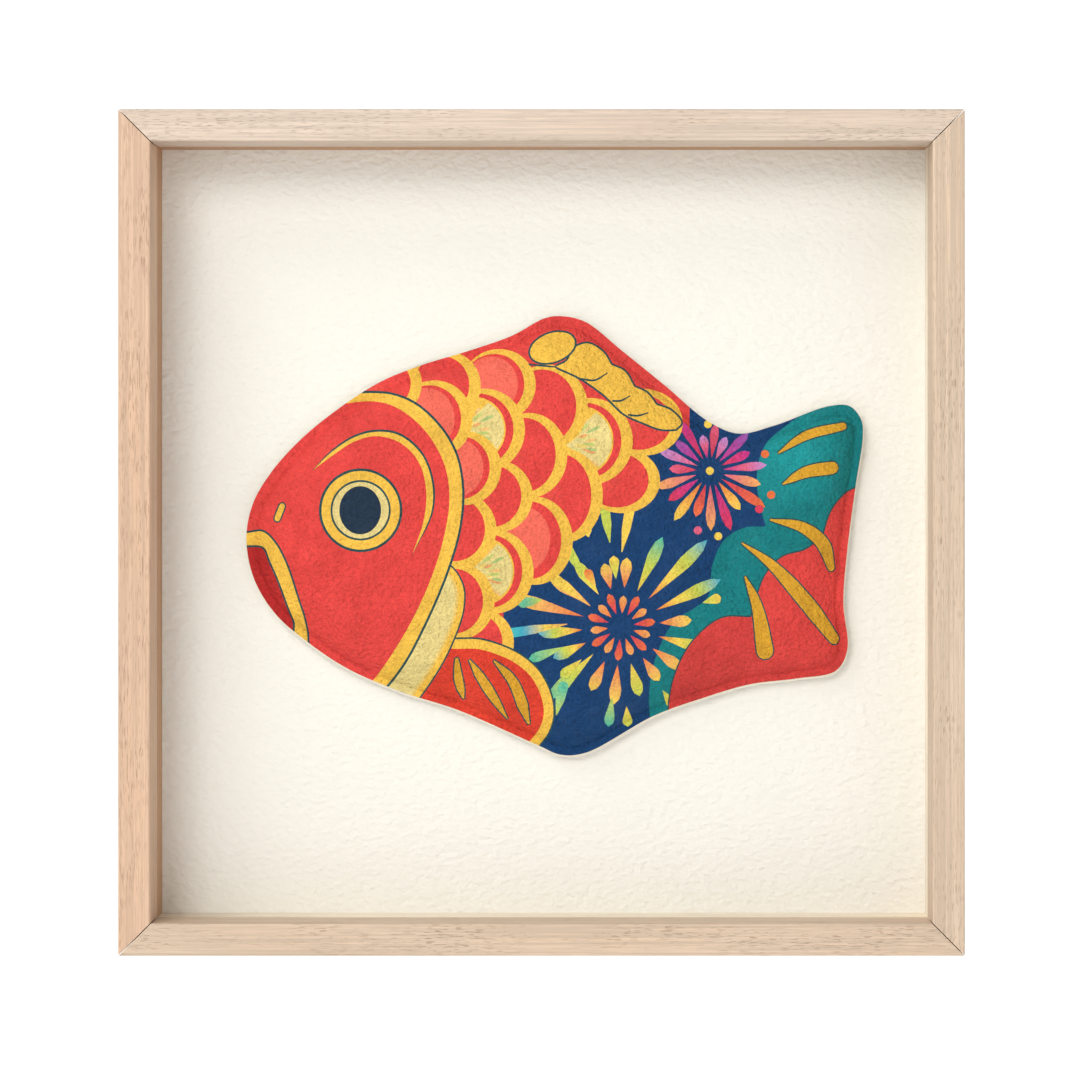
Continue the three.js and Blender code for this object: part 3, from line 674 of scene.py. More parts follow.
def paint_dorsal_fin(p):
    """A braided fin of five lobes along the back."""
    back = joined(
        [(4.4, 48.2), (8.4, 49.5), (12.2, 47.4), (14.4, 44.0)],
        [(14.4, 44.0), (17.8, 42.4), (20.2, 38.4)],
        [(20.2, 38.4), (23.4, 36.9), (25.9, 33.8)],
        [(25.9, 33.8), (29.6, 32.4), (32.2, 29.3), (30.7, 27.6)],
        [(30.7, 27.6), (27, 27.6), (22.5, 29.2), (17.6, 31.5), (12.5, 36.3), (6.5, 40.5), (0.3, 43.4)],
        [(0.3, 43.4), (3.2, 45.0), (4.4, 48.2)],
        step=0.6,
    )
    p.lined(back, "yellow")
    p.lined(ellipse(-0.6, 48.4, 5.9, 3.7, 20, step=0.5), "yellow")
    for line in (
        [(-6.6, 44.0), (-2.5, 43.6), (0.4, 43.3)],
        [(6.6, 40.3), (10.2, 40.0), (13.4, 41.9)],
        [(14.6, 34.7), (16.8, 34.8), (19.2, 36.1)],
        [(18.6, 31.2), (21.2, 31.0), (23.8, 31.8)],
    ):
        p.add(stroke(line, [0.5, 0.5, 0.3]), "line")


def paint_carp(ink):
    """The whole design, laid down from the back to the front."""
    p = Print(ink)
    p.add(CARP_RIM, round_ramp((-50, 10), 10, 70, [p.ink["red"], p.ink["red"] * 0.96]))
    paint_sky(p)
    paint_bursts(p)
    paint_tail(p)
    paint_sparks(p)
    paint_scales(p)
    paint_pectoral_fin(p)
    paint_gill(p)
    paint_face(p)
    paint_dorsal_fin(p)
    return p


# ------------------------------------------------------------------ meshes


def to_frame(q, y):
    """Drawing places in millimetres, and depths in metres, as points of the frame."""
    return np.column_stack([(q[:, 0] + CARP_U) * MM, y, (q[:, 1] + CARP_V) * MM])


def even_grid(pitch):
    """Places over the whole carp, that far apart."""
    u, v = np.arange(-80, 80, pitch), np.arange(-57, 58, pitch)
    return np.stack(np.meshgrid(u, v, indexing="ij"), -1).reshape(-1, 2)


def crease_points(relief):
    """Places that the mesh needs besides the design's own, for a smooth form with a crisp edge."""
    rim = relief.rim_width / MM
    steps = (-1.6, -0.7, -0.12, 0.12, 0.5, 1.1, 1.9, 2.9, 4.1, 5.5, 7.1)
    rows = [grown(CARP_RIM, -(rim + d)) for d in steps]
    for start, end, _deep in DARTS:
        a, b = np.array(start), np.array(end)
        side = np.array([a[1] - b[1], b[0] - a[0]]) / np.hypot(*(b - a))
        t = np.linspace(0, 1.05, 18)[:, None]
        rows += [a + t * (b - a) + off * side for off in (-0.9, -0.45, 0, 0.45, 0.9)]
    pitch = 1.35
    grid = even_grid(pitch)
    grid[:, 1] += np.where(np.round(grid[:, 0] / pitch) % 2 == 0, 0, pitch / 2)
    rows.append(grid[depth_inside(grid) > rim + 7.6])
    points = np.vstack(rows)
    return points[depth_inside(points) > 0.25]


# Places of the plan that are closer than this, in millimetres, become one.
MERGE_WITHIN = 1e-3


def plan_mesh(shapes, extra, nudge=(0.0, 0.0), inset=0.0):
    """The plan cut along every shape's outline: its places, its triangles, and each one's topmost shape."""
    rim = grown(CARP_RIM, -inset) + np.asarray(nudge)
    outlines = [rim] + [outline for outline, _ink in shapes[1:]]
    places, faces, count = [], [], 0
    for outline in outlines:
        places.append(outline)
        faces.append(list(range(count, count + len(outline))))
        count += len(outline)
    places.append(extra)
    verts = [Vector(row) for row in np.vstack(places)]
    cut = delaunay_2d_cdt(verts, [], faces, 1, MERGE_WITHIN, True)
    out, _edges, triangles, _verts_of, _edges_of, origin = cut
    keep = [(t, max(o)) for t, o in zip(triangles, origin) if 0 in o]
    tri = np.array([t for t, _top in keep])
    top = np.array([o for _t, o in keep])
    q = np.array([tuple(v) for v in out])
    used = np.unique(tri)
    index = np.full(len(q), -1)
    index[used] = np.arange(len(used))
    return q[used], index[tri], top


def counter_clockwise(q, tri):
    a, b, c = (q[tri[:, k]] for k in range(3))
    turn = (b[:, 0] - a[:, 0]) * (c[:, 1] - a[:, 1]) - (b[:, 1] - a[:, 1]) * (c[:, 0] - a[:, 0])
    flip = turn < 0
    tri = tri.copy()
    tri[flip] = tri[flip][:, ::-1]
    return tri


def open_edges(tri):
    """The edges round a flat mesh that only one triangle has, each in that triangle's direction."""
    pairs = np.vstack([tri[:, [0, 1]], tri[:, [1, 2]], tri[:, [2, 0]]])
    low, high = pairs.min(1), pairs.max(1)
    _unique, first, count = np.unique(low * (tri.max() + 1) + high, return_index=True, return_counts=True)
    return pairs[first[count == 1]]


PAPER_WHITE = srgb(240, 232, 216)


def sheet_mesh(name, q, tri, front, back, normals, ink=None):
    """A closed sheet between two depths over the same plan. The front faces -Y."""
    tri = counter_clockwise(q, tri)
    edge = open_edges(tri)
    count = len(q)
    verts = np.vstack([to_frame(q, front), to_frame(q, back)])
    sides = np.vstack([
        np.column_stack([edge[:, 0], edge[:, 0] + count, edge[:, 1] + count]),
        np.column_stack([edge[:, 0], edge[:, 1] + count, edge[:, 1]]),
    ])  # fmt: skip
    faces = np.vstack([tri, tri[:, ::-1] + count, sides])
    mesh = bpy.data.meshes.new(name)
    mesh.vertices.add(len(verts))
    mesh.vertices.foreach_set("co", verts.ravel())
    mesh.loops.add(faces.size)
    mesh.loops.foreach_set("vertex_index", faces.ravel().astype(np.int32))
    mesh.polygons.add(len(faces))
    mesh.polygons.foreach_set("loop_start", np.arange(0, faces.size, 3, dtype=np.int32))
    mesh.update(calc_edges=True)
    mesh.polygons.foreach_set("use_smooth", np.ones(len(faces), bool))
    corner = np.zeros((faces.size, 3))
    corner[: tri.size] = normals[tri.ravel()]
    corner[tri.size : 2 * tri.size] = -normals[tri[:, ::-1].ravel()]
    p, n, r = (verts[sides[:, k]] for k in range(3))
    flat_normal = np.cross(n - p, r - p)
    flat_normal /= np.maximum(np.linalg.norm(flat_normal, axis=1), 1e-12)[:, None]
    corner[2 * tri.size :] = np.repeat(flat_normal, 3, axis=0)
    mesh.normals_split_custom_set([tuple(c) for c in corner])
    if ink is not None:
        layer = mesh.color_attributes.new("ink", "FLOAT_COLOR", "CORNER")
        paper = np.tile([*PAPER_WHITE[:3], 1.0], (faces.size, 1))
        paper[: tri.size] = ink
        layer.data.foreach_set("color", paper.astype(np.float32).ravel())
    return mesh


def relief_normals(q, height):
    """Unit normals of the front at each place, from the height's slope."""
    step = 0.12
    du = (height(q + [step, 0]) - height(q - [step, 0])) / (2 * step)
    dv = (height(q + [0, step]) - height(q - [0, step])) / (2 * step)
    n = np.column_stack([-du, -np.ones(len(q)), -dv])
    return n / np.linalg.norm(n, axis=1)[:, None]


def link_piece(name, mesh, material, body, replaced):
    """A finished mesh as a piece: its material, body, slot and the CAD nodes that it stands for."""
    obj = bpy.data.objects.new(name, mesh)
    bpy.context.scene.collection.objects.link(obj)
    mesh.materials.clear()
    mesh.materials.append(material)
    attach(obj, body)
    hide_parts(*replaced)
    return obj


def mesh_from(bm, name):
    mesh = bpy.data.meshes.new(name)
    bm.to_mesh(mesh)
    bm.free()
    return mesh


# ------------------------------------------------------------------ finishes


class Finish:
    """A node material being built. Its patterns' sizes are in millimetres, on the piece's own axes."""

    def __init__(self, name, roughness=0.6, metallic=0.0):
        self.material = bpy.data.materials.new(name)
        self.material.use_nodes = True
        self.tree = self.material.node_tree
        self.tree.nodes.clear()
        self.output = self.tree.nodes.new("ShaderNodeOutputMaterial")
        self.surface = self.tree.nodes.new("ShaderNodeBsdfPrincipled")
        self.surface.inputs["Roughness"].default_value = roughness
        self.surface.inputs["Metallic"].default_value = metallic
        self.join(self.surface.outputs[0], self.output.inputs["Surface"])
        self.place = self.tree.nodes.new("ShaderNodeTexCoord").outputs["Object"]

    def join(self, source, target):
        self.tree.links.new(source, target)

    def put(self, socket, value):
        if isinstance(value, bpy.types.NodeSocket):
            self.join(value, socket)
        else:
            socket.default_value = value

    def noise(self, size, offset=(0, 0, 0), turn=(0, 0, 0), detail=3.0, distortion=0.0):
        """Noise from 0 to 1 whose features have that size along x, y and z."""
        mapping = self.tree.nodes.new("ShaderNodeMapping")
        self.join(self.place, mapping.inputs["Vector"])
        mapping.inputs["Scale"].default_value = [1 / (MM * s) for s in size]
        mapping.inputs["Rotation"].default_value = turn
        mapping.inputs["Location"].default_value = offset
        texture = self.tree.nodes.new("ShaderNodeTexNoise")
        self.join(mapping.outputs[0], texture.inputs["Vector"])
        texture.inputs["Scale"].default_value = 1.0
        texture.inputs["Detail"].default_value = detail
        texture.inputs["Distortion"].default_value = distortion
        return texture.outputs["Fac"]

    def span(self, value, low, high, to_low=0.0, to_high=1.0):
        """The value's range low to high spread over another range, and held at its ends."""
        node = self.tree.nodes.new("ShaderNodeMapRange")
        node.inputs["From Min"].default_value = low
        node.inputs["From Max"].default_value = high
        node.inputs["To Min"].default_value = to_low
        node.inputs["To Max"].default_value = to_high
        self.join(value, node.inputs["Value"])
        return node.outputs["Result"]

    def maths(self, operation, a, b):
        node = self.tree.nodes.new("ShaderNodeMath")
        node.operation = operation
        self.put(node.inputs[0], a)
        self.put(node.inputs[1], b)
        return node.outputs[0]

    def mix(self, factor, a, b, blend="MIX"):
        node = self.tree.nodes.new("ShaderNodeMix")
        node.data_type = "RGBA"
        node.blend_type = blend
        self.put(node.inputs["Factor"], factor)
        self.put(node.inputs[6], a)
        self.put(node.inputs[7], b)
        return node.outputs[2]

    def colour(self, value):
        self.put(self.surface.inputs["Base Color"], value)

    def rough(self, value):
        self.put(self.surface.inputs["Roughness"], value)

    def bump(self, *layers):
        """Each layer is a height from 0 to 1 and how many millimetres that is."""
        normal = None
        for height, depth in layers:
            node = self.tree.nodes.new("ShaderNodeBump")
            node.inputs["Distance"].default_value = depth * MM
            self.join(height, node.inputs["Height"])
            if normal is not None:
                self.join(normal, node.inputs["Normal"])
            normal = node.outputs["Normal"]
        self.join(normal, self.surface.inputs["Normal"])


def shade(colour, by):
    """A colour made lighter or darker by that factor."""
    return (*(min(1.0, c * by) for c in colour[:3]), 1.0)


ALONG_X, ALONG_Z = "x", "z"


def wood_finish(name, colour, grain, seed, pores=1.0):
    """Pale open-pored wood, its grain along one axis."""
    f = Finish(name)

    def along(length, across, depth=None):
        depth = across if depth is None else depth
        return (length, depth, across) if grain == ALONG_X else (across, depth, length)

    offset = (seed * 3.17, seed * 1.31, seed * 2.23)
    bands = f.noise(along(130, 3.2), offset, detail=2, distortion=0.6)
    fibres = f.noise(along(70, 0.55), offset, detail=2)
    threads = f.noise(along(9, 0.3), offset, detail=1)
    patches = f.noise(along(46, 14), offset, detail=2)
    pore_shape = f.noise(along(2.6, 0.16), offset, detail=0)
    pore_field = f.noise(along(26, 5), offset, detail=2)
    pore = f.maths("MULTIPLY", f.span(pore_shape, 0.66, 0.72), f.span(pore_field, 0.34, 0.62))
    pore = f.maths("MULTIPLY", pore, pores)
    tone = f.mix(f.span(bands, 0.32, 0.68), shade(colour, 1.07), shade(colour, 0.92))
    warm = (*(c * k for c, k in zip(colour[:3], (1.04, 0.95, 0.86))), 1)
    tone = f.mix(f.span(patches, 0.35, 0.7, 0, 0.45), tone, warm)
    tone = f.mix(f.span(fibres, 0.42, 0.60, 0, 0.8), tone, shade(colour, 0.80))
    tone = f.mix(f.span(threads, 0.46, 0.62, 0, 0.6), tone, shade(colour, 0.82))
    dark = (colour[0] * 0.52, colour[1] * 0.42, colour[2] * 0.34, 1)
    f.colour(f.mix(f.maths("MULTIPLY", pore, 0.6), tone, dark))
    f.rough(f.span(fibres, 0.2, 0.8, 0.5, 0.68))
    hollow = f.maths("SUBTRACT", 1.0, pore)
    f.bump((hollow, 0.06), (fibres, 0.06), (bands, 0.04))
    return f.material


def printed_finish():
    """Soft handmade paper with the design printed on it."""
    f = Finish("printed_washi", 0.78)
    ink = f.tree.nodes.new("ShaderNodeAttribute")
    ink.attribute_name = "ink"
    speck = f.noise((0.42, 0.42, 0.42), detail=2)
    cloud = f.noise((7, 7, 7), detail=3)
    wash = f.noise((2.4, 2.4, 2.4), (3, 1, 2), detail=3)
    fibre_one = f.noise((0.22, 0.22, 3.2), (1, 2, 3), (0, 0.7, 0), detail=2)
    fibre_two = f.noise((0.22, 0.22, 3.0), (4, 1, 5), (0, -0.9, 0), detail=2)
    fibre = f.maths("MAXIMUM", f.span(fibre_one, 0.60, 0.74), f.span(fibre_two, 0.60, 0.74))
    depth = f.span(speck, 0.38, 0.62, 0.90, 1.10)
    for layer, low, high in ((cloud, 0.93, 1.09), (wash, 0.95, 1.05)):
        depth = f.maths("MULTIPLY", depth, f.span(layer, 0.32, 0.68, low, high))
    depth = f.maths("ADD", depth, f.maths("MULTIPLY", fibre, 0.10))
    tone = f.mix(1.0, ink.outputs["Color"], depth, "MULTIPLY")
    thin = f.maths("MULTIPLY", f.span(cloud, 0.5, 0.75, 0.0, 0.012), f.span(speck, 0.3, 0.7, 0.4, 1.0))
    f.colour(f.mix(thin, tone, srgb(255, 220, 190)))
    f.rough(f.span(speck, 0.2, 0.8, 0.68, 0.86))
    pebble = f.noise((0.95, 0.95, 0.95), (2, 5, 1), detail=1)
    f.bump((pebble, 1.0), (fibre, 0.06), (speck, 0.08))
    f.surface.inputs["Specular IOR Level"].default_value = 0.32
    return f.material


def paper_finish(name, colour, ripple, depth, roughness=0.85):
    """Uncoated paper with a felt mark of that size."""
    f = Finish(name, roughness)
    felt = f.noise((ripple, ripple, ripple * 0.7), (1, 1, 1), (0, 0.6, 0), detail=1)
    fine = f.noise((0.5, 0.5, 0.5), detail=3)
    broad = f.noise((30, 30, 30), detail=2)
    tone = f.mix(f.span(broad, 0.3, 0.7), colour, shade(colour, 0.985))
    f.colour(f.mix(f.span(fine, 0.35, 0.65, 0, 0.35), tone, shade(colour, 0.955)))
    f.bump((felt, depth), (fine, depth * 0.22))
    return f.material


def board_finish(name, colour):
    """Pressed brown fibreboard, with darker and lighter fibres."""
    f = Finish(name, 0.7)
    fibre = f.noise((0.35, 0.35, 1.8), (1, 3, 2), (0, 0.5, 0), detail=3)
    cross = f.noise((1.8, 0.35, 0.35), (5, 1, 2), (0, 0.3, 0), detail=3)
    cloud = f.noise((18, 18, 18), detail=3)
    tone = f.mix(f.span(cloud, 0.3, 0.7), shade(colour, 1.05), shade(colour, 0.94))
    tone = f.mix(f.span(fibre, 0.56, 0.70, 0, 0.6), tone, shade(colour, 0.6))
    f.colour(f.mix(f.span(cross, 0.58, 0.70, 0, 0.5), tone, shade(colour, 1.5)))
    f.rough(f.span(cloud, 0.3, 0.7, 0.5, 0.62))
    f.bump((fibre, 0.05), (cross, 0.04))
    return f.material


def metal_finish(name, colour, roughness, wear=1.0):
    """Plated metal, a little dull in patches, with fine handling marks."""
    f = Finish(name, roughness, 1.0)
    patch = f.noise((2.6, 2.6, 2.6), detail=3)
    marks = f.noise((0.12, 0.12, 2.4), (1, 2, 1), (0, 0.6, 0.3), detail=2)
    f.colour(f.mix(f.span(patch, 0.4, 0.75, 0, 0.55 * wear), colour, shade(colour, 0.62)))
    dull = f.span(patch, 0.35, 0.7, roughness, roughness + 0.16)
    f.rough(f.maths("ADD", dull, f.span(marks, 0.55, 0.75, 0, 0.12)))
    f.bump((marks, 0.008), (patch, 0.012))
    return f.material


def foam_finish():
    f = Finish("white_foam", 0.9)
    cell = f.noise((0.28, 0.28, 0.28), detail=2)
    f.colour(f.mix(f.span(cell, 0.35, 0.65), srgb(244, 242, 236), srgb(206, 202, 192)))
    f.bump((cell, 0.10))
    return f.material


def glazing_finish():
    """Clear sheet that mirrors a little, more where it is met at a slant."""
    f = Finish("clear_glazing", 0.04)
    f.tree.nodes.remove(f.surface)
    clear = f.tree.nodes.new("ShaderNodeBsdfTransparent")
    clear.inputs["Color"].default_value = (0.965, 0.967, 0.962, 1)
    mirror = f.tree.nodes.new("ShaderNodeBsdfGlossy")
    mirror.inputs["Roughness"].default_value = 0.03
    slant = f.tree.nodes.new("ShaderNodeLayerWeight").outputs["Facing"]
    smear = f.noise((40, 40, 40), detail=2)
    share = f.maths("MULTIPLY", f.maths("POWER", slant, 5.0), f.span(smear, 0.3, 0.7, 0.8, 0.95))
    blend = f.tree.nodes.new("ShaderNodeMixShader")
    f.join(share, blend.inputs[0])
    f.join(clear.outputs[0], blend.inputs[1])
    f.join(mirror.outputs[0], blend.inputs[2])
    f.join(blend.outputs[0], f.output.inputs["Surface"])
    return f.material


def finish_node(node, material):
    """Gives a CAD node its material."""
    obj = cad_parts[node]
    obj.data.materials.clear()
    obj.data.materials.append(material)


# ------------------------------------------------------------------ the pieces


STRIP_SEED = 6


class CARP_OT_wood(bpy.types.Operator):
    """Finish the four rails and the four spacer strips, each with its own grain"""

    bl_idname = "carp.wood"
    bl_label = "Wood rails and strips"

    def execute(self, context):
        wood = context.scene.carp_wood
        rails = (
            ("top", wood.pale, ALONG_X, 1), ("bottom", wood.middle, ALONG_X, 2),
            ("left", wood.warm, ALONG_Z, 3), ("right", wood.middle, ALONG_Z, 4),
        )  # fmt: skip
        for side, colour, grain, seed in rails:
            rail = wood_finish(f"rail_wood_{side}", tuple(colour), grain, seed)
            finish_node(f"rail_{side}", rail)
            # The left and top strips get the darker colour as painted shade, the right and bottom strips
            # the pale colour as painted light.
            tone = wood.strip if side in ("left", "top") else wood.strip_painted_lit
            strip = wood_finish(f"strip_wood_{side}", tuple(tone), grain, seed + STRIP_SEED, pores=0.5)
            finish_node(f"spacer_{side}", strip)
        return {"FINISHED"}


class CARP_OT_glazing(bpy.types.Operator):
    """Finish the clear sheet in front of the relief"""

    bl_idname = "carp.glazing"
    bl_label = "Glazing"

    def execute(self, context):
        finish_node("glazing_sheet", glazing_finish())
        return {"FINISHED"}


class CARP_OT_boards(bpy.types.Operator):
    """Finish the ground paper, the mount board behind it and the back panel"""

    bl_idname = "carp.boards"
    bl_label = "Papers and boards"

    def execute(self, context):
        finish_node("ground_paper", paper_finish("felt_paper", srgb(245, 242, 235), 2.2, 0.5))
        finish_node("mount_board", paper_finish("mount_board_white", srgb(236, 232, 222), 1.2, 0.03))
        finish_node("back_panel", board_finish("fibreboard", srgb(158, 116, 78)))
        return {"FINISHED"}


# The print was pasted a little off its shell and trimmed inside the rim, in millimetres.
PRINT_SHIFT, PRINT_INSET = (-0.1, 0.3), 0.22


class CARP_OT_print(bpy.types.Operator):
    """Mould the printed paper over its form, with the design in the sheet"""

    bl_idname = "carp.print"
    bl_label = "Printed carp"

    def execute(self, context):
        relief = context.scene.carp_relief
        shapes = paint_carp(context.scene.carp_ink).shapes
        crease = grown(CARP_RIM, -relief.rim_width / MM)
        shapes.insert(1, (crease, shapes[0][1]))
        q, tri, top = plan_mesh(shapes, crease_points(relief), PRINT_SHIFT, PRINT_INSET)
        tri = counter_clockwise(q, tri)

        def height(at):
            return relief_height(at, relief)

        rim_y = PRINT_BACK - relief.sheet_thickness
        front = rim_y - height(q) * MM
        ink = np.zeros((len(tri), 3, 4))
        for index in np.unique(top):
            mine = top == index
            ink[mine] = shapes[index][1](q[tri[mine]].reshape(-1, 2)).reshape(-1, 3, 4)
        back = front + relief.sheet_thickness
        normals = relief_normals(q, height)
        mesh = sheet_mesh("carp_printed_sheet", q, tri, front, back, normals, ink.reshape(-1, 4))
        link_piece("carp_printed_sheet", mesh, printed_finish(), "frame", ["carp_print"])
        return {"FINISHED"}


def core_plan(pitch=2.2):
    """The shell's and the card's plan, with rows of places close to the rim."""
    grid = even_grid(pitch)
    rows = [grown(CARP_RIM, -d)[::2] for d in (2.4, 2.6, 3.1, 4.0, 5.4, 7.4, 9.8)]
    rows.append(grid[depth_inside(grid) > 11])
    extra = np.vstack(rows)
    q, tri, _top = plan_mesh([(CARP_RIM, None)], extra[depth_inside(extra) > 0.3])
    return q, tri


SHELL_WALL_MM = 0.6
SHELL_UNDER_PRINT_MM = 0.35


class CARP_OT_core(bpy.types.Operator):
    """Mould the paper-pulp shell and cut the backing card under the print"""

    bl_idname = "carp.core"
    bl_label = "Shell and backing"

    def execute(self, context):
        relief = context.scene.carp_relief
        pulp = paper_finish("paper_pulp", srgb(242, 234, 218), 1.4, 0.10, 0.9)
        q, tri = core_plan()

        def height(at):
            smooth = relief_height(at, relief, inset=0.5, uneven=0.0)
            return np.maximum(smooth - SHELL_UNDER_PRINT_MM, 0)

        wall = SHELL_WALL_MM * MM
        back = BACKING_LO.y - height(q) * MM
        front = back - wall
        shell = sheet_mesh("carp_pulp_shell", q, tri, front, back, relief_normals(q, height))
        link_piece("carp_pulp_shell", shell, pulp, "frame", ["carp_shell"])
        flat_front = relief_normals(q, lambda at: np.zeros(len(at)))
        y_front, y_back = np.full(len(q), BACKING_LO.y), np.full(len(q), BACKING_HI.y)
        card = sheet_mesh("carp_backing_card", q, tri, y_front, y_back, flat_front)
        link_piece("carp_backing_card", card, pulp, "frame", ["carp_backing"])
        return {"FINISHED"}


class CARP_OT_pads(bpy.types.Operator):
    """Set the five foam pads that hold the relief off its paper"""

    bl_idname = "carp.pads"
    bl_label = "Foam pads"

    def execute(self, context):
        material = foam_finish()
        for k in range(1, 6):
            node = f"foam_pad_{k}"
            lo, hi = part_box(node)
            pad = link_piece(f"foam_pad_{k}_soft", self.pad_mesh(lo, hi), material, "frame", [node])
        return {"FINISHED"}

    @staticmethod
    def pad_mesh(lo, hi, cells=14, rows=6, pinch=0.35 * MM):
        """A square pad whose sides are pinched in at the middle of their thickness."""
        middle, half = (lo + hi) / 2, (hi.x - lo.x) / 2
        bm = bmesh.new()
        rings = []
        for r in range(rows + 1):
            t = r / rows
            inset = pinch * math.sin(math.pi * t)
            y = lo.y + (hi.y - lo.y) * t
            ring = []
            for side in range(4):
                turn = side * math.pi / 2
                for c in range(cells):
                    along = (2 * c / cells - 1) * (half - inset)
                    x, z = along, -(half - inset)
                    u = x * math.cos(turn) - z * math.sin(turn)
                    w = x * math.sin(turn) + z * math.cos(turn)
                    ring.append(bm.verts.new((middle.x + u, y, middle.z + w)))
            rings.append(ring)
        skin_rings(bm, rings)
        return mesh_from(bm, "foam_pad")


def skin_rings(bm, rings, smooth=True, caps=True):
    """Faces between neighbouring rings of the same count, with flat ends, all facing outwards."""
    count = len(rings[0])
    for one, two in zip(rings, rings[1:]):
        for k in range(count):
            face = bm.faces.new((one[k], one[(k + 1) % count], two[(k + 1) % count], two[k]))
            face.smooth = smooth
    if caps:
        bm.faces.new(rings[0])
        bm.faces.new(rings[-1])
    bmesh.ops.recalc_face_normals(bm, faces=bm.faces)


BUTTONS = ("left_upper", "left_lower", "right_upper", "right_lower")


class CARP_OT_turn_buttons(bpy.types.Operator):
    """Make the four turn buttons that hold the back panel, each on its own body"""

    bl_idname = "carp.turn_buttons"
    bl_label = "Turn buttons"

    def execute(self, context):
        brass = metal_finish("button_brass", srgb(206, 168, 98), 0.30)
        for name in BUTTONS:
            node = f"turn_button_{name}"
            mesh = self.button_mesh(*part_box(node))
            link_piece(f"{node}_pressed", mesh, brass, f"button_{name}", [node])
        return {"FINISHED"}

    @staticmethod
    def button_mesh(lo, hi):
        """A pressed plate with round ends, a rolled edge, and a low rib along its middle."""
        middle, thick = (lo + hi) / 2, hi.y - lo.y
        radius, reach = (hi.z - lo.z) / 2, (hi.x - hi.z + lo.z - lo.x) / 2
        edge = 0.22 * MM
        profile = [(0.0, 0.0), (0.4, 0.10), (1.0, 0.45), (1.0, 0.72), (0.62, 0.93), (0.0, 1.0)]
        bm = bmesh.new()
        rings = []
        for out, up in profile:
            rings.append(stadium(bm, middle, radius - edge * (1 - out), reach, lo.y + thick * up * 0.86))
        for inset, up in ((0.9, 0.86), (1.15, 0.80), (1.5, 0.80), (1.8, 0.92), (2.1, 1.0)):
            rings.append(stadium(bm, middle, radius - inset * MM, reach, lo.y + thick * up))
        skin_rings(bm, rings)
        return mesh_from(bm, "turn_button")


def stadium(bm, middle, radius, reach, y, steps=14):
    """A ring of vertices round a shape with straight sides and round ends."""
    ring = []
    for end in (1, -1):
        for k in range(steps + 1):
            a = -math.pi / 2 + math.pi * k / steps + (0 if end == 1 else math.pi)
            x, z = end * reach + radius * math.cos(a), radius * math.sin(a)
            ring.append(bm.verts.new((middle.x + x, y, middle.z + z)))
    return ring


def lathe(bm, profile, segments=32, dent=None):
    """A round body about the Y axis, from (radius, depth) pairs, and closed at both ends."""
    rings = []
    for radius, y in profile:
        ring = []
        for k in range(segments):
            a = 2 * math.pi * k / segments
            drop = dent(radius, a) if dent else 0
            ring.append(bm.verts.new((radius * math.cos(a), y + drop, radius * math.sin(a))))
        rings.append(ring)
    skin_rings(bm, rings)


def thread_profile(radius, start, end, pitch, deep, rows_per_turn=6):
    """A ridged shank, as closed rings rather than one helix."""
    count = max(2, round((end - start) / pitch * rows_per_turn))
    rows = []
    for k in range(count + 1):
        y = start + (end - start) * k / count
        rows.append((radius - deep * (0.5 - 0.5 * math.cos(2 * math.pi * k / rows_per_turn)), y))
    return rows


# The cross recess, as shares of the head's radius, radius and height.
ARM_REACH, ARM_HALF_WIDTH, RECESS_DEPTH = 0.62, 0.15, 0.5


def screw_mesh(head, tall, length):
    """A pan-head screw with a cross recess, its head on +Y, seated at the origin."""
    def cross(radius, angle):
        off_arm = radius * min(abs(math.cos(angle)), abs(math.sin(angle)))
        if radius > ARM_REACH * head or off_arm > ARM_HALF_WIDTH * head:
            return 0.0
        return -RECESS_DEPTH * tall

    bm = bmesh.new()
    profile = [(0.02 * MM, -length), (0.35 * MM, -length + 0.9 * MM)]
    profile += thread_profile(0.98 * MM, -length + 1.8 * MM, -0.6 * MM, 0.8 * MM, 0.28 * MM)
    profile += [(1.0 * MM, 0.0), (head * 0.96, 0.0), (head, 0.12 * tall), (head * 0.985, 0.36 * tall)]
    for k in range(1, 17):
        r = head * 0.985 * (1 - k / 16.6)
        profile.append((r, tall * (0.36 + 0.64 * math.sqrt(1 - (r / head) ** 2))))
    profile.append((0.01 * MM, tall))
    lathe(bm, profile, 64, cross)
    return mesh_from(bm, "pan_screw")


def rivet_mesh(head, tall, length):
    """A domed rivet, its head on +Y, seated at the origin."""
    bm = bmesh.new()
    shank = 0.9 * MM
    profile = [(0.01 * MM, -length), (shank - 0.1 * MM, -length), (shank, -length + 0.1 * MM)]
    profile += [(shank, 0), (head * 0.97, 0)]
    for k in range(9):
        a = math.pi / 2 * k / 8.3
        profile.append((head * math.cos(a), tall * (0.12 + 0.88 * math.sin(a))))
    profile.append((0.01 * MM, tall))
    lathe(bm, profile, 40)
    return mesh_from(bm, "domed_rivet")


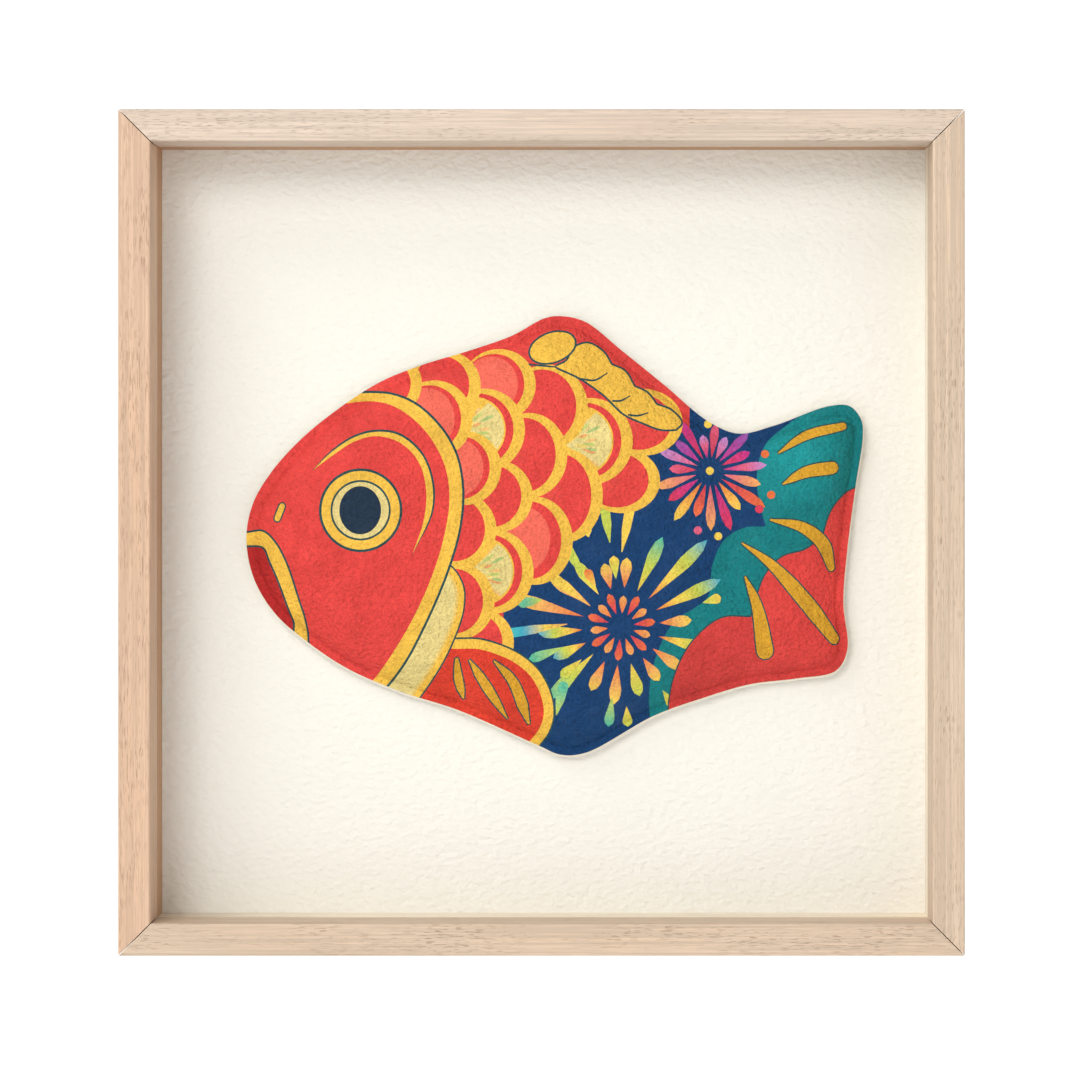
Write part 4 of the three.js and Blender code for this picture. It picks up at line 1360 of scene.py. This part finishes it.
def repeat_tree():
    """A node tree that sets one fixing at every point, each turned by its own fixed-seed angle."""
    tree = bpy.data.node_groups.new("fixings_at_points", "GeometryNodeTree")
    face = tree.interface
    face.new_socket("Geometry", in_out="INPUT", socket_type="NodeSocketGeometry")
    sockets = {
        "Fixing": face.new_socket("Fixing", in_out="INPUT", socket_type="NodeSocketObject"),
        "Size": face.new_socket("Size", in_out="INPUT", socket_type="NodeSocketFloat"),
        "Most turn": face.new_socket("Most turn", in_out="INPUT", socket_type="NodeSocketFloat"),
        "Finish": face.new_socket("Finish", in_out="INPUT", socket_type="NodeSocketMaterial"),
    }
    face.new_socket("Geometry", in_out="OUTPUT", socket_type="NodeSocketGeometry")
    nodes, join = tree.nodes, tree.links.new
    given, out = nodes.new("NodeGroupInput"), nodes.new("NodeGroupOutput")
    source = nodes.new("GeometryNodeObjectInfo")
    join(given.outputs["Fixing"], source.inputs["Object"])
    angle = nodes.new("FunctionNodeRandomValue")
    angle.data_type = "FLOAT"
    angle.inputs["Seed"].default_value = 5
    join(given.outputs["Most turn"], angle.inputs[3])
    turn = nodes.new("ShaderNodeCombineXYZ")
    join(angle.outputs[1], turn.inputs["Y"])
    place = nodes.new("GeometryNodeInstanceOnPoints")
    join(given.outputs["Geometry"], place.inputs["Points"])
    join(source.outputs["Geometry"], place.inputs["Instance"])
    join(turn.outputs[0], place.inputs["Rotation"])
    join(given.outputs["Size"], place.inputs["Scale"])
    real, finish = nodes.new("GeometryNodeRealizeInstances"), nodes.new("GeometryNodeSetMaterial")
    join(place.outputs[0], real.inputs[0])
    join(real.outputs[0], finish.inputs["Geometry"])
    join(given.outputs["Finish"], finish.inputs["Material"])
    join(finish.outputs[0], out.inputs[0])
    return tree, {name: socket.identifier for name, socket in sockets.items()}


def fixings_mesh(name, fixing, places, most_turn, material):
    """One plain mesh of a fixing at every place."""
    tree, names = repeat_tree()
    source = bpy.data.objects.new(f"{name}_source", fixing)
    points = bpy.data.meshes.new(f"{name}_points")
    points.from_pydata([tuple(p) for p in places], [], [])
    carrier = bpy.data.objects.new(f"{name}_carrier", points)
    for obj in (source, carrier):
        bpy.context.scene.collection.objects.link(obj)
    modifier = carrier.modifiers.new("fixings", "NODES")
    modifier.node_group = tree
    modifier[names["Fixing"]] = source
    modifier[names["Size"]] = 1.0
    modifier[names["Most turn"]] = most_turn
    modifier[names["Finish"]] = material
    seen = carrier.evaluated_get(bpy.context.evaluated_depsgraph_get())
    mesh = bpy.data.meshes.new_from_object(seen)
    mesh.name = name
    for obj in (carrier, source):
        bpy.data.objects.remove(obj)
    bpy.data.node_groups.remove(tree)
    if not len(mesh.polygons):
        raise RuntimeError(f"{name} came out empty")
    return mesh


PLATE_THICKNESS = 0.8 * MM
HEAD_GAP = 0.02 * MM


class CARP_OT_fixings(bpy.types.Operator):
    """Set the button screws, the hanger's rivets and the corner nails"""

    bl_idname = "carp.fixings"
    bl_label = "Screws, rivets and nails"

    def execute(self, context):
        brass = metal_finish("screw_brass", srgb(212, 176, 104), 0.26)
        nodes = [f"button_screw_{name}" for name in BUTTONS]
        boxes = [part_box(node) for node in nodes]
        lo, hi = boxes[0]
        head, seat = (hi.x - lo.x) / 2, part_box(f"turn_button_{BUTTONS[0]}")[1].y + HEAD_GAP
        places = [((a.x + b.x) / 2, seat, (a.z + b.z) / 2) for a, b in boxes]
        screw = screw_mesh(head, hi.y - seat, seat - lo.y)
        mesh = fixings_mesh("button_screws", screw, places, math.pi, brass)
        link_piece("button_screws", mesh, brass, "frame", nodes)

        nodes = ["hanger_rivet_left", "hanger_rivet_right"]
        boxes = [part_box(node) for node in nodes]
        lo, hi = boxes[0]
        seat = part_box("back_panel")[1].y + PLATE_THICKNESS + HEAD_GAP
        places = [((a.x + b.x) / 2, seat, (a.z + b.z) / 2) for a, b in boxes]
        rivet = rivet_mesh((hi.x - lo.x) / 2, hi.y - seat, seat - lo.y)
        mesh = fixings_mesh("hanger_rivets", rivet, places, math.pi, brass)
        link_piece("hanger_rivets", mesh, brass, "frame", nodes)

        steel = metal_finish("nail_steel", srgb(150, 152, 156), 0.34)
        for corner in ("top_left", "top_right", "bottom_left", "bottom_right"):
            finish_node(f"v_nail_{corner}", steel)
        return {"FINISHED"}


RING_CORNER = 2.5 * MM


class CARP_OT_hanger(bpy.types.Operator):
    """Make the hanger's pressed plate and its D-shaped ring"""

    bl_idname = "carp.hanger"
    bl_label = "Hanger"

    def execute(self, context):
        brass = metal_finish("hanger_brass", srgb(200, 160, 92), 0.28)
        plate = rounded_copy("hanger_plate", 0.14 * MM)
        link_piece("hanger_plate_pressed", plate, brass, "frame", ["hanger_plate"])
        ring = self.ring_mesh(*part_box("hanger_ring"))
        link_piece("hanger_ring_wire", ring, brass, "ring", ["hanger_ring"])
        return {"FINISHED"}

    @staticmethod
    def ring_mesh(lo, hi, around=20):
        """Round wire bent to a D: a straight bar at the top, two short sides and a half circle."""
        wire = (hi.y - lo.y) / 2
        middle = (lo + hi) / 2
        half, corner = (hi.x - lo.x) / 2 - wire, RING_CORNER
        top, bow = hi.z - wire, lo.z + wire + half
        path = []
        for k in range(33):
            a = math.pi + math.pi * k / 32
            path.append((half * math.cos(a), bow + half * math.sin(a)))
        for side, first in ((1, 0), (-1, math.pi / 2)):
            for k in range(9):
                a = first + math.pi / 2 * k / 8
                x, z = side * (half - corner), top - corner
                path.append((x + corner * math.cos(a), z + corner * math.sin(a)))
        bm = bmesh.new()
        rings = []
        count = len(path)
        for k, (x, z) in enumerate(path):
            before, after = path[k - 1], path[(k + 1) % count]
            along = Vector((after[0] - before[0], 0, after[1] - before[1])).normalized()
            out = Vector((along.z, 0, -along.x))
            ring = []
            for j in range(around):
                a = 2 * math.pi * j / around
                turned = math.cos(a) * out + math.sin(a) * Vector((0, 1, 0))
                ring.append(bm.verts.new(Vector((middle.x + x, middle.y, z)) + wire * turned))
            rings.append(ring)
        skin_rings(bm, rings + [rings[0]], caps=False)
        return mesh_from(bm, "hanger_ring")


def rounded_copy(node, width):
    """A CAD node's shape with its sharp edges rounded."""
    bm = bmesh.new()
    bm.from_mesh(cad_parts[node].data)
    bmesh.ops.remove_doubles(bm, verts=bm.verts, dist=1e-6)
    bmesh.ops.dissolve_limit(bm, angle_limit=math.radians(1), verts=bm.verts, edges=bm.edges)
    sharp = [e for e in bm.edges if len(e.link_faces) == 2 and e.calc_face_angle(0) > math.radians(40)]
    bmesh.ops.bevel(
        bm, geom=sharp, offset=width, segments=2, profile=0.5, affect="EDGES", clamp_overlap=True
    )
    return mesh_from(bm, f"{node}_rounded")


# ------------------------------------------------------------------ the stage


# Each lamp: its name, its place, its width, and its share of the key light's power.
LAMPS = (
    ("soft_key", (-0.50, -1.42, 0.82), 0.8, 1.0),
    ("high_key", (-1.00, -0.75, 1.50), 0.9, 1.3),
    ("back_light", (1.10, 1.50, 1.20), 1.0, 0.6),
)
LAMPS_AIM_AT = (0, 0, 0.105)
LAMP_WHITE = (1.0, 0.985, 0.96)
BACKDROP_GREYS = srgb(150, 150, 150), srgb(146, 146, 146)
BACKDROP_GLOW = 0.87
CAMERA_SHIFT = -0.0574, -0.0332


class CARP_OT_stage(bpy.types.Operator):
    """Set up the white sweep, the soft light from the upper left and the camera"""

    bl_idname = "carp.stage"
    bl_label = "Stage"

    def execute(self, context):
        settings = context.scene.carp_stage
        self.sweep(context)
        self.light(context, settings)
        self.camera(context, settings)
        context.scene.view_settings.view_transform = "Standard"
        return {"FINISHED"}

    @staticmethod
    def sweep(context, radius=2.6, bend=0.6, high=1.2, segments=96):
        """A round floor that curves up into a low wall all round."""
        line = [(radius - bend, 0.0)]
        for a in np.linspace(0, math.pi / 2, 13)[1:]:
            line.append((radius - bend + bend * math.sin(a), bend - bend * math.cos(a)))
        line.append((radius, high))
        turns = [2 * math.pi * k / segments for k in range(segments)]
        verts = [(r * math.cos(a), r * math.sin(a), z) for r, z in line for a in turns]
        faces = [tuple(range(segments))]
        for row in range(len(line) - 1):
            for k in range(segments):
                one, two = row * segments + k, row * segments + (k + 1) % segments
                faces.append((one, two, two + segments, one + segments))
        mesh = bpy.data.meshes.new("white_sweep")
        mesh.from_pydata(verts, [], faces)
        mesh.polygons.foreach_set("use_smooth", [False] + [True] * (len(faces) - 1))
        obj = bpy.data.objects.new("white_sweep", mesh)
        context.scene.collection.objects.link(obj)
        paper = Finish("white_backdrop_paper", 0.9)
        grain = paper.noise((4, 4, 4), detail=2)
        paper.colour(paper.mix(grain, *BACKDROP_GREYS))
        paper.surface.inputs["Emission Color"].default_value = (1, 1, 1, 1)
        paper.surface.inputs["Emission Strength"].default_value = BACKDROP_GLOW
        mesh.materials.append(paper.material)

    @staticmethod
    def light(context, settings):
        world = bpy.data.worlds.new("soft_room")
        world.use_nodes = True
        room = world.node_tree.nodes["Background"]
        room.inputs["Color"].default_value = (1, 1, 1, 1)
        room.inputs["Strength"].default_value = settings.fill
        context.scene.world = world
        for name, place, size, share in LAMPS:
            lamp = bpy.data.lights.new(name, "AREA")
            lamp.shape = "DISK"
            lamp.size = size
            lamp.energy = settings.key * share
            lamp.color = LAMP_WHITE
            key = bpy.data.objects.new(name, lamp)
            key.location = place
            aim = Vector(LAMPS_AIM_AT) - key.location
            key.rotation_euler = aim.to_track_quat("-Z", "Y").to_euler()
            context.scene.collection.objects.link(key)

    @staticmethod
    def camera(context, settings):
        lens = bpy.data.cameras.new("studio_camera")
        lens.lens = settings.lens
        lens.shift_x, lens.shift_y = CAMERA_SHIFT
        lens.dof.use_dof = False
        camera = bpy.data.objects.new("studio_camera", lens)
        camera.location = (settings.across, FRAME_FRONT - settings.distance, settings.height)
        camera.rotation_euler = (math.pi / 2, 0, 0)
        context.scene.collection.objects.link(camera)
        context.scene.camera = camera


class CARP_PT_panel(bpy.types.Panel):
    """The steps that build the framed relief"""

    bl_idname = "CARP_PT_panel"
    bl_label = "Carp Relief"
    bl_space_type = "VIEW_3D"
    bl_region_type = "UI"
    bl_category = "Carp Relief"

    def draw(self, context):
        for operator in OPERATORS:
            self.layout.operator(operator.bl_idname)
        for name, group in SETTINGS.items():
            box = self.layout.box()
            for field in group.__annotations__:
                box.prop(getattr(context.scene, name), field)


OPERATORS = (
    CARP_OT_stage,
    CARP_OT_wood,
    CARP_OT_boards,
    CARP_OT_core,
    CARP_OT_print,
    CARP_OT_pads,
    CARP_OT_glazing,
    CARP_OT_turn_buttons,
    CARP_OT_fixings,
    CARP_OT_hanger,
)


def register():
    for cls in (*SETTINGS.values(), *OPERATORS, CARP_PT_panel):
        bpy.utils.register_class(cls)
    for name, group in SETTINGS.items():
        setattr(bpy.types.Scene, name, bpy.props.PointerProperty(type=group))


def unregister():
    for name in SETTINGS:
        delattr(bpy.types.Scene, name)
    for cls in reversed((*SETTINGS.values(), *OPERATORS, CARP_PT_panel)):
        bpy.utils.unregister_class(cls)


def main():
    register()
    for operator in OPERATORS:
        group, name = operator.bl_idname.split(".")
        getattr(getattr(bpy.ops, group), name)()


if __name__ == "__main__":
    main()
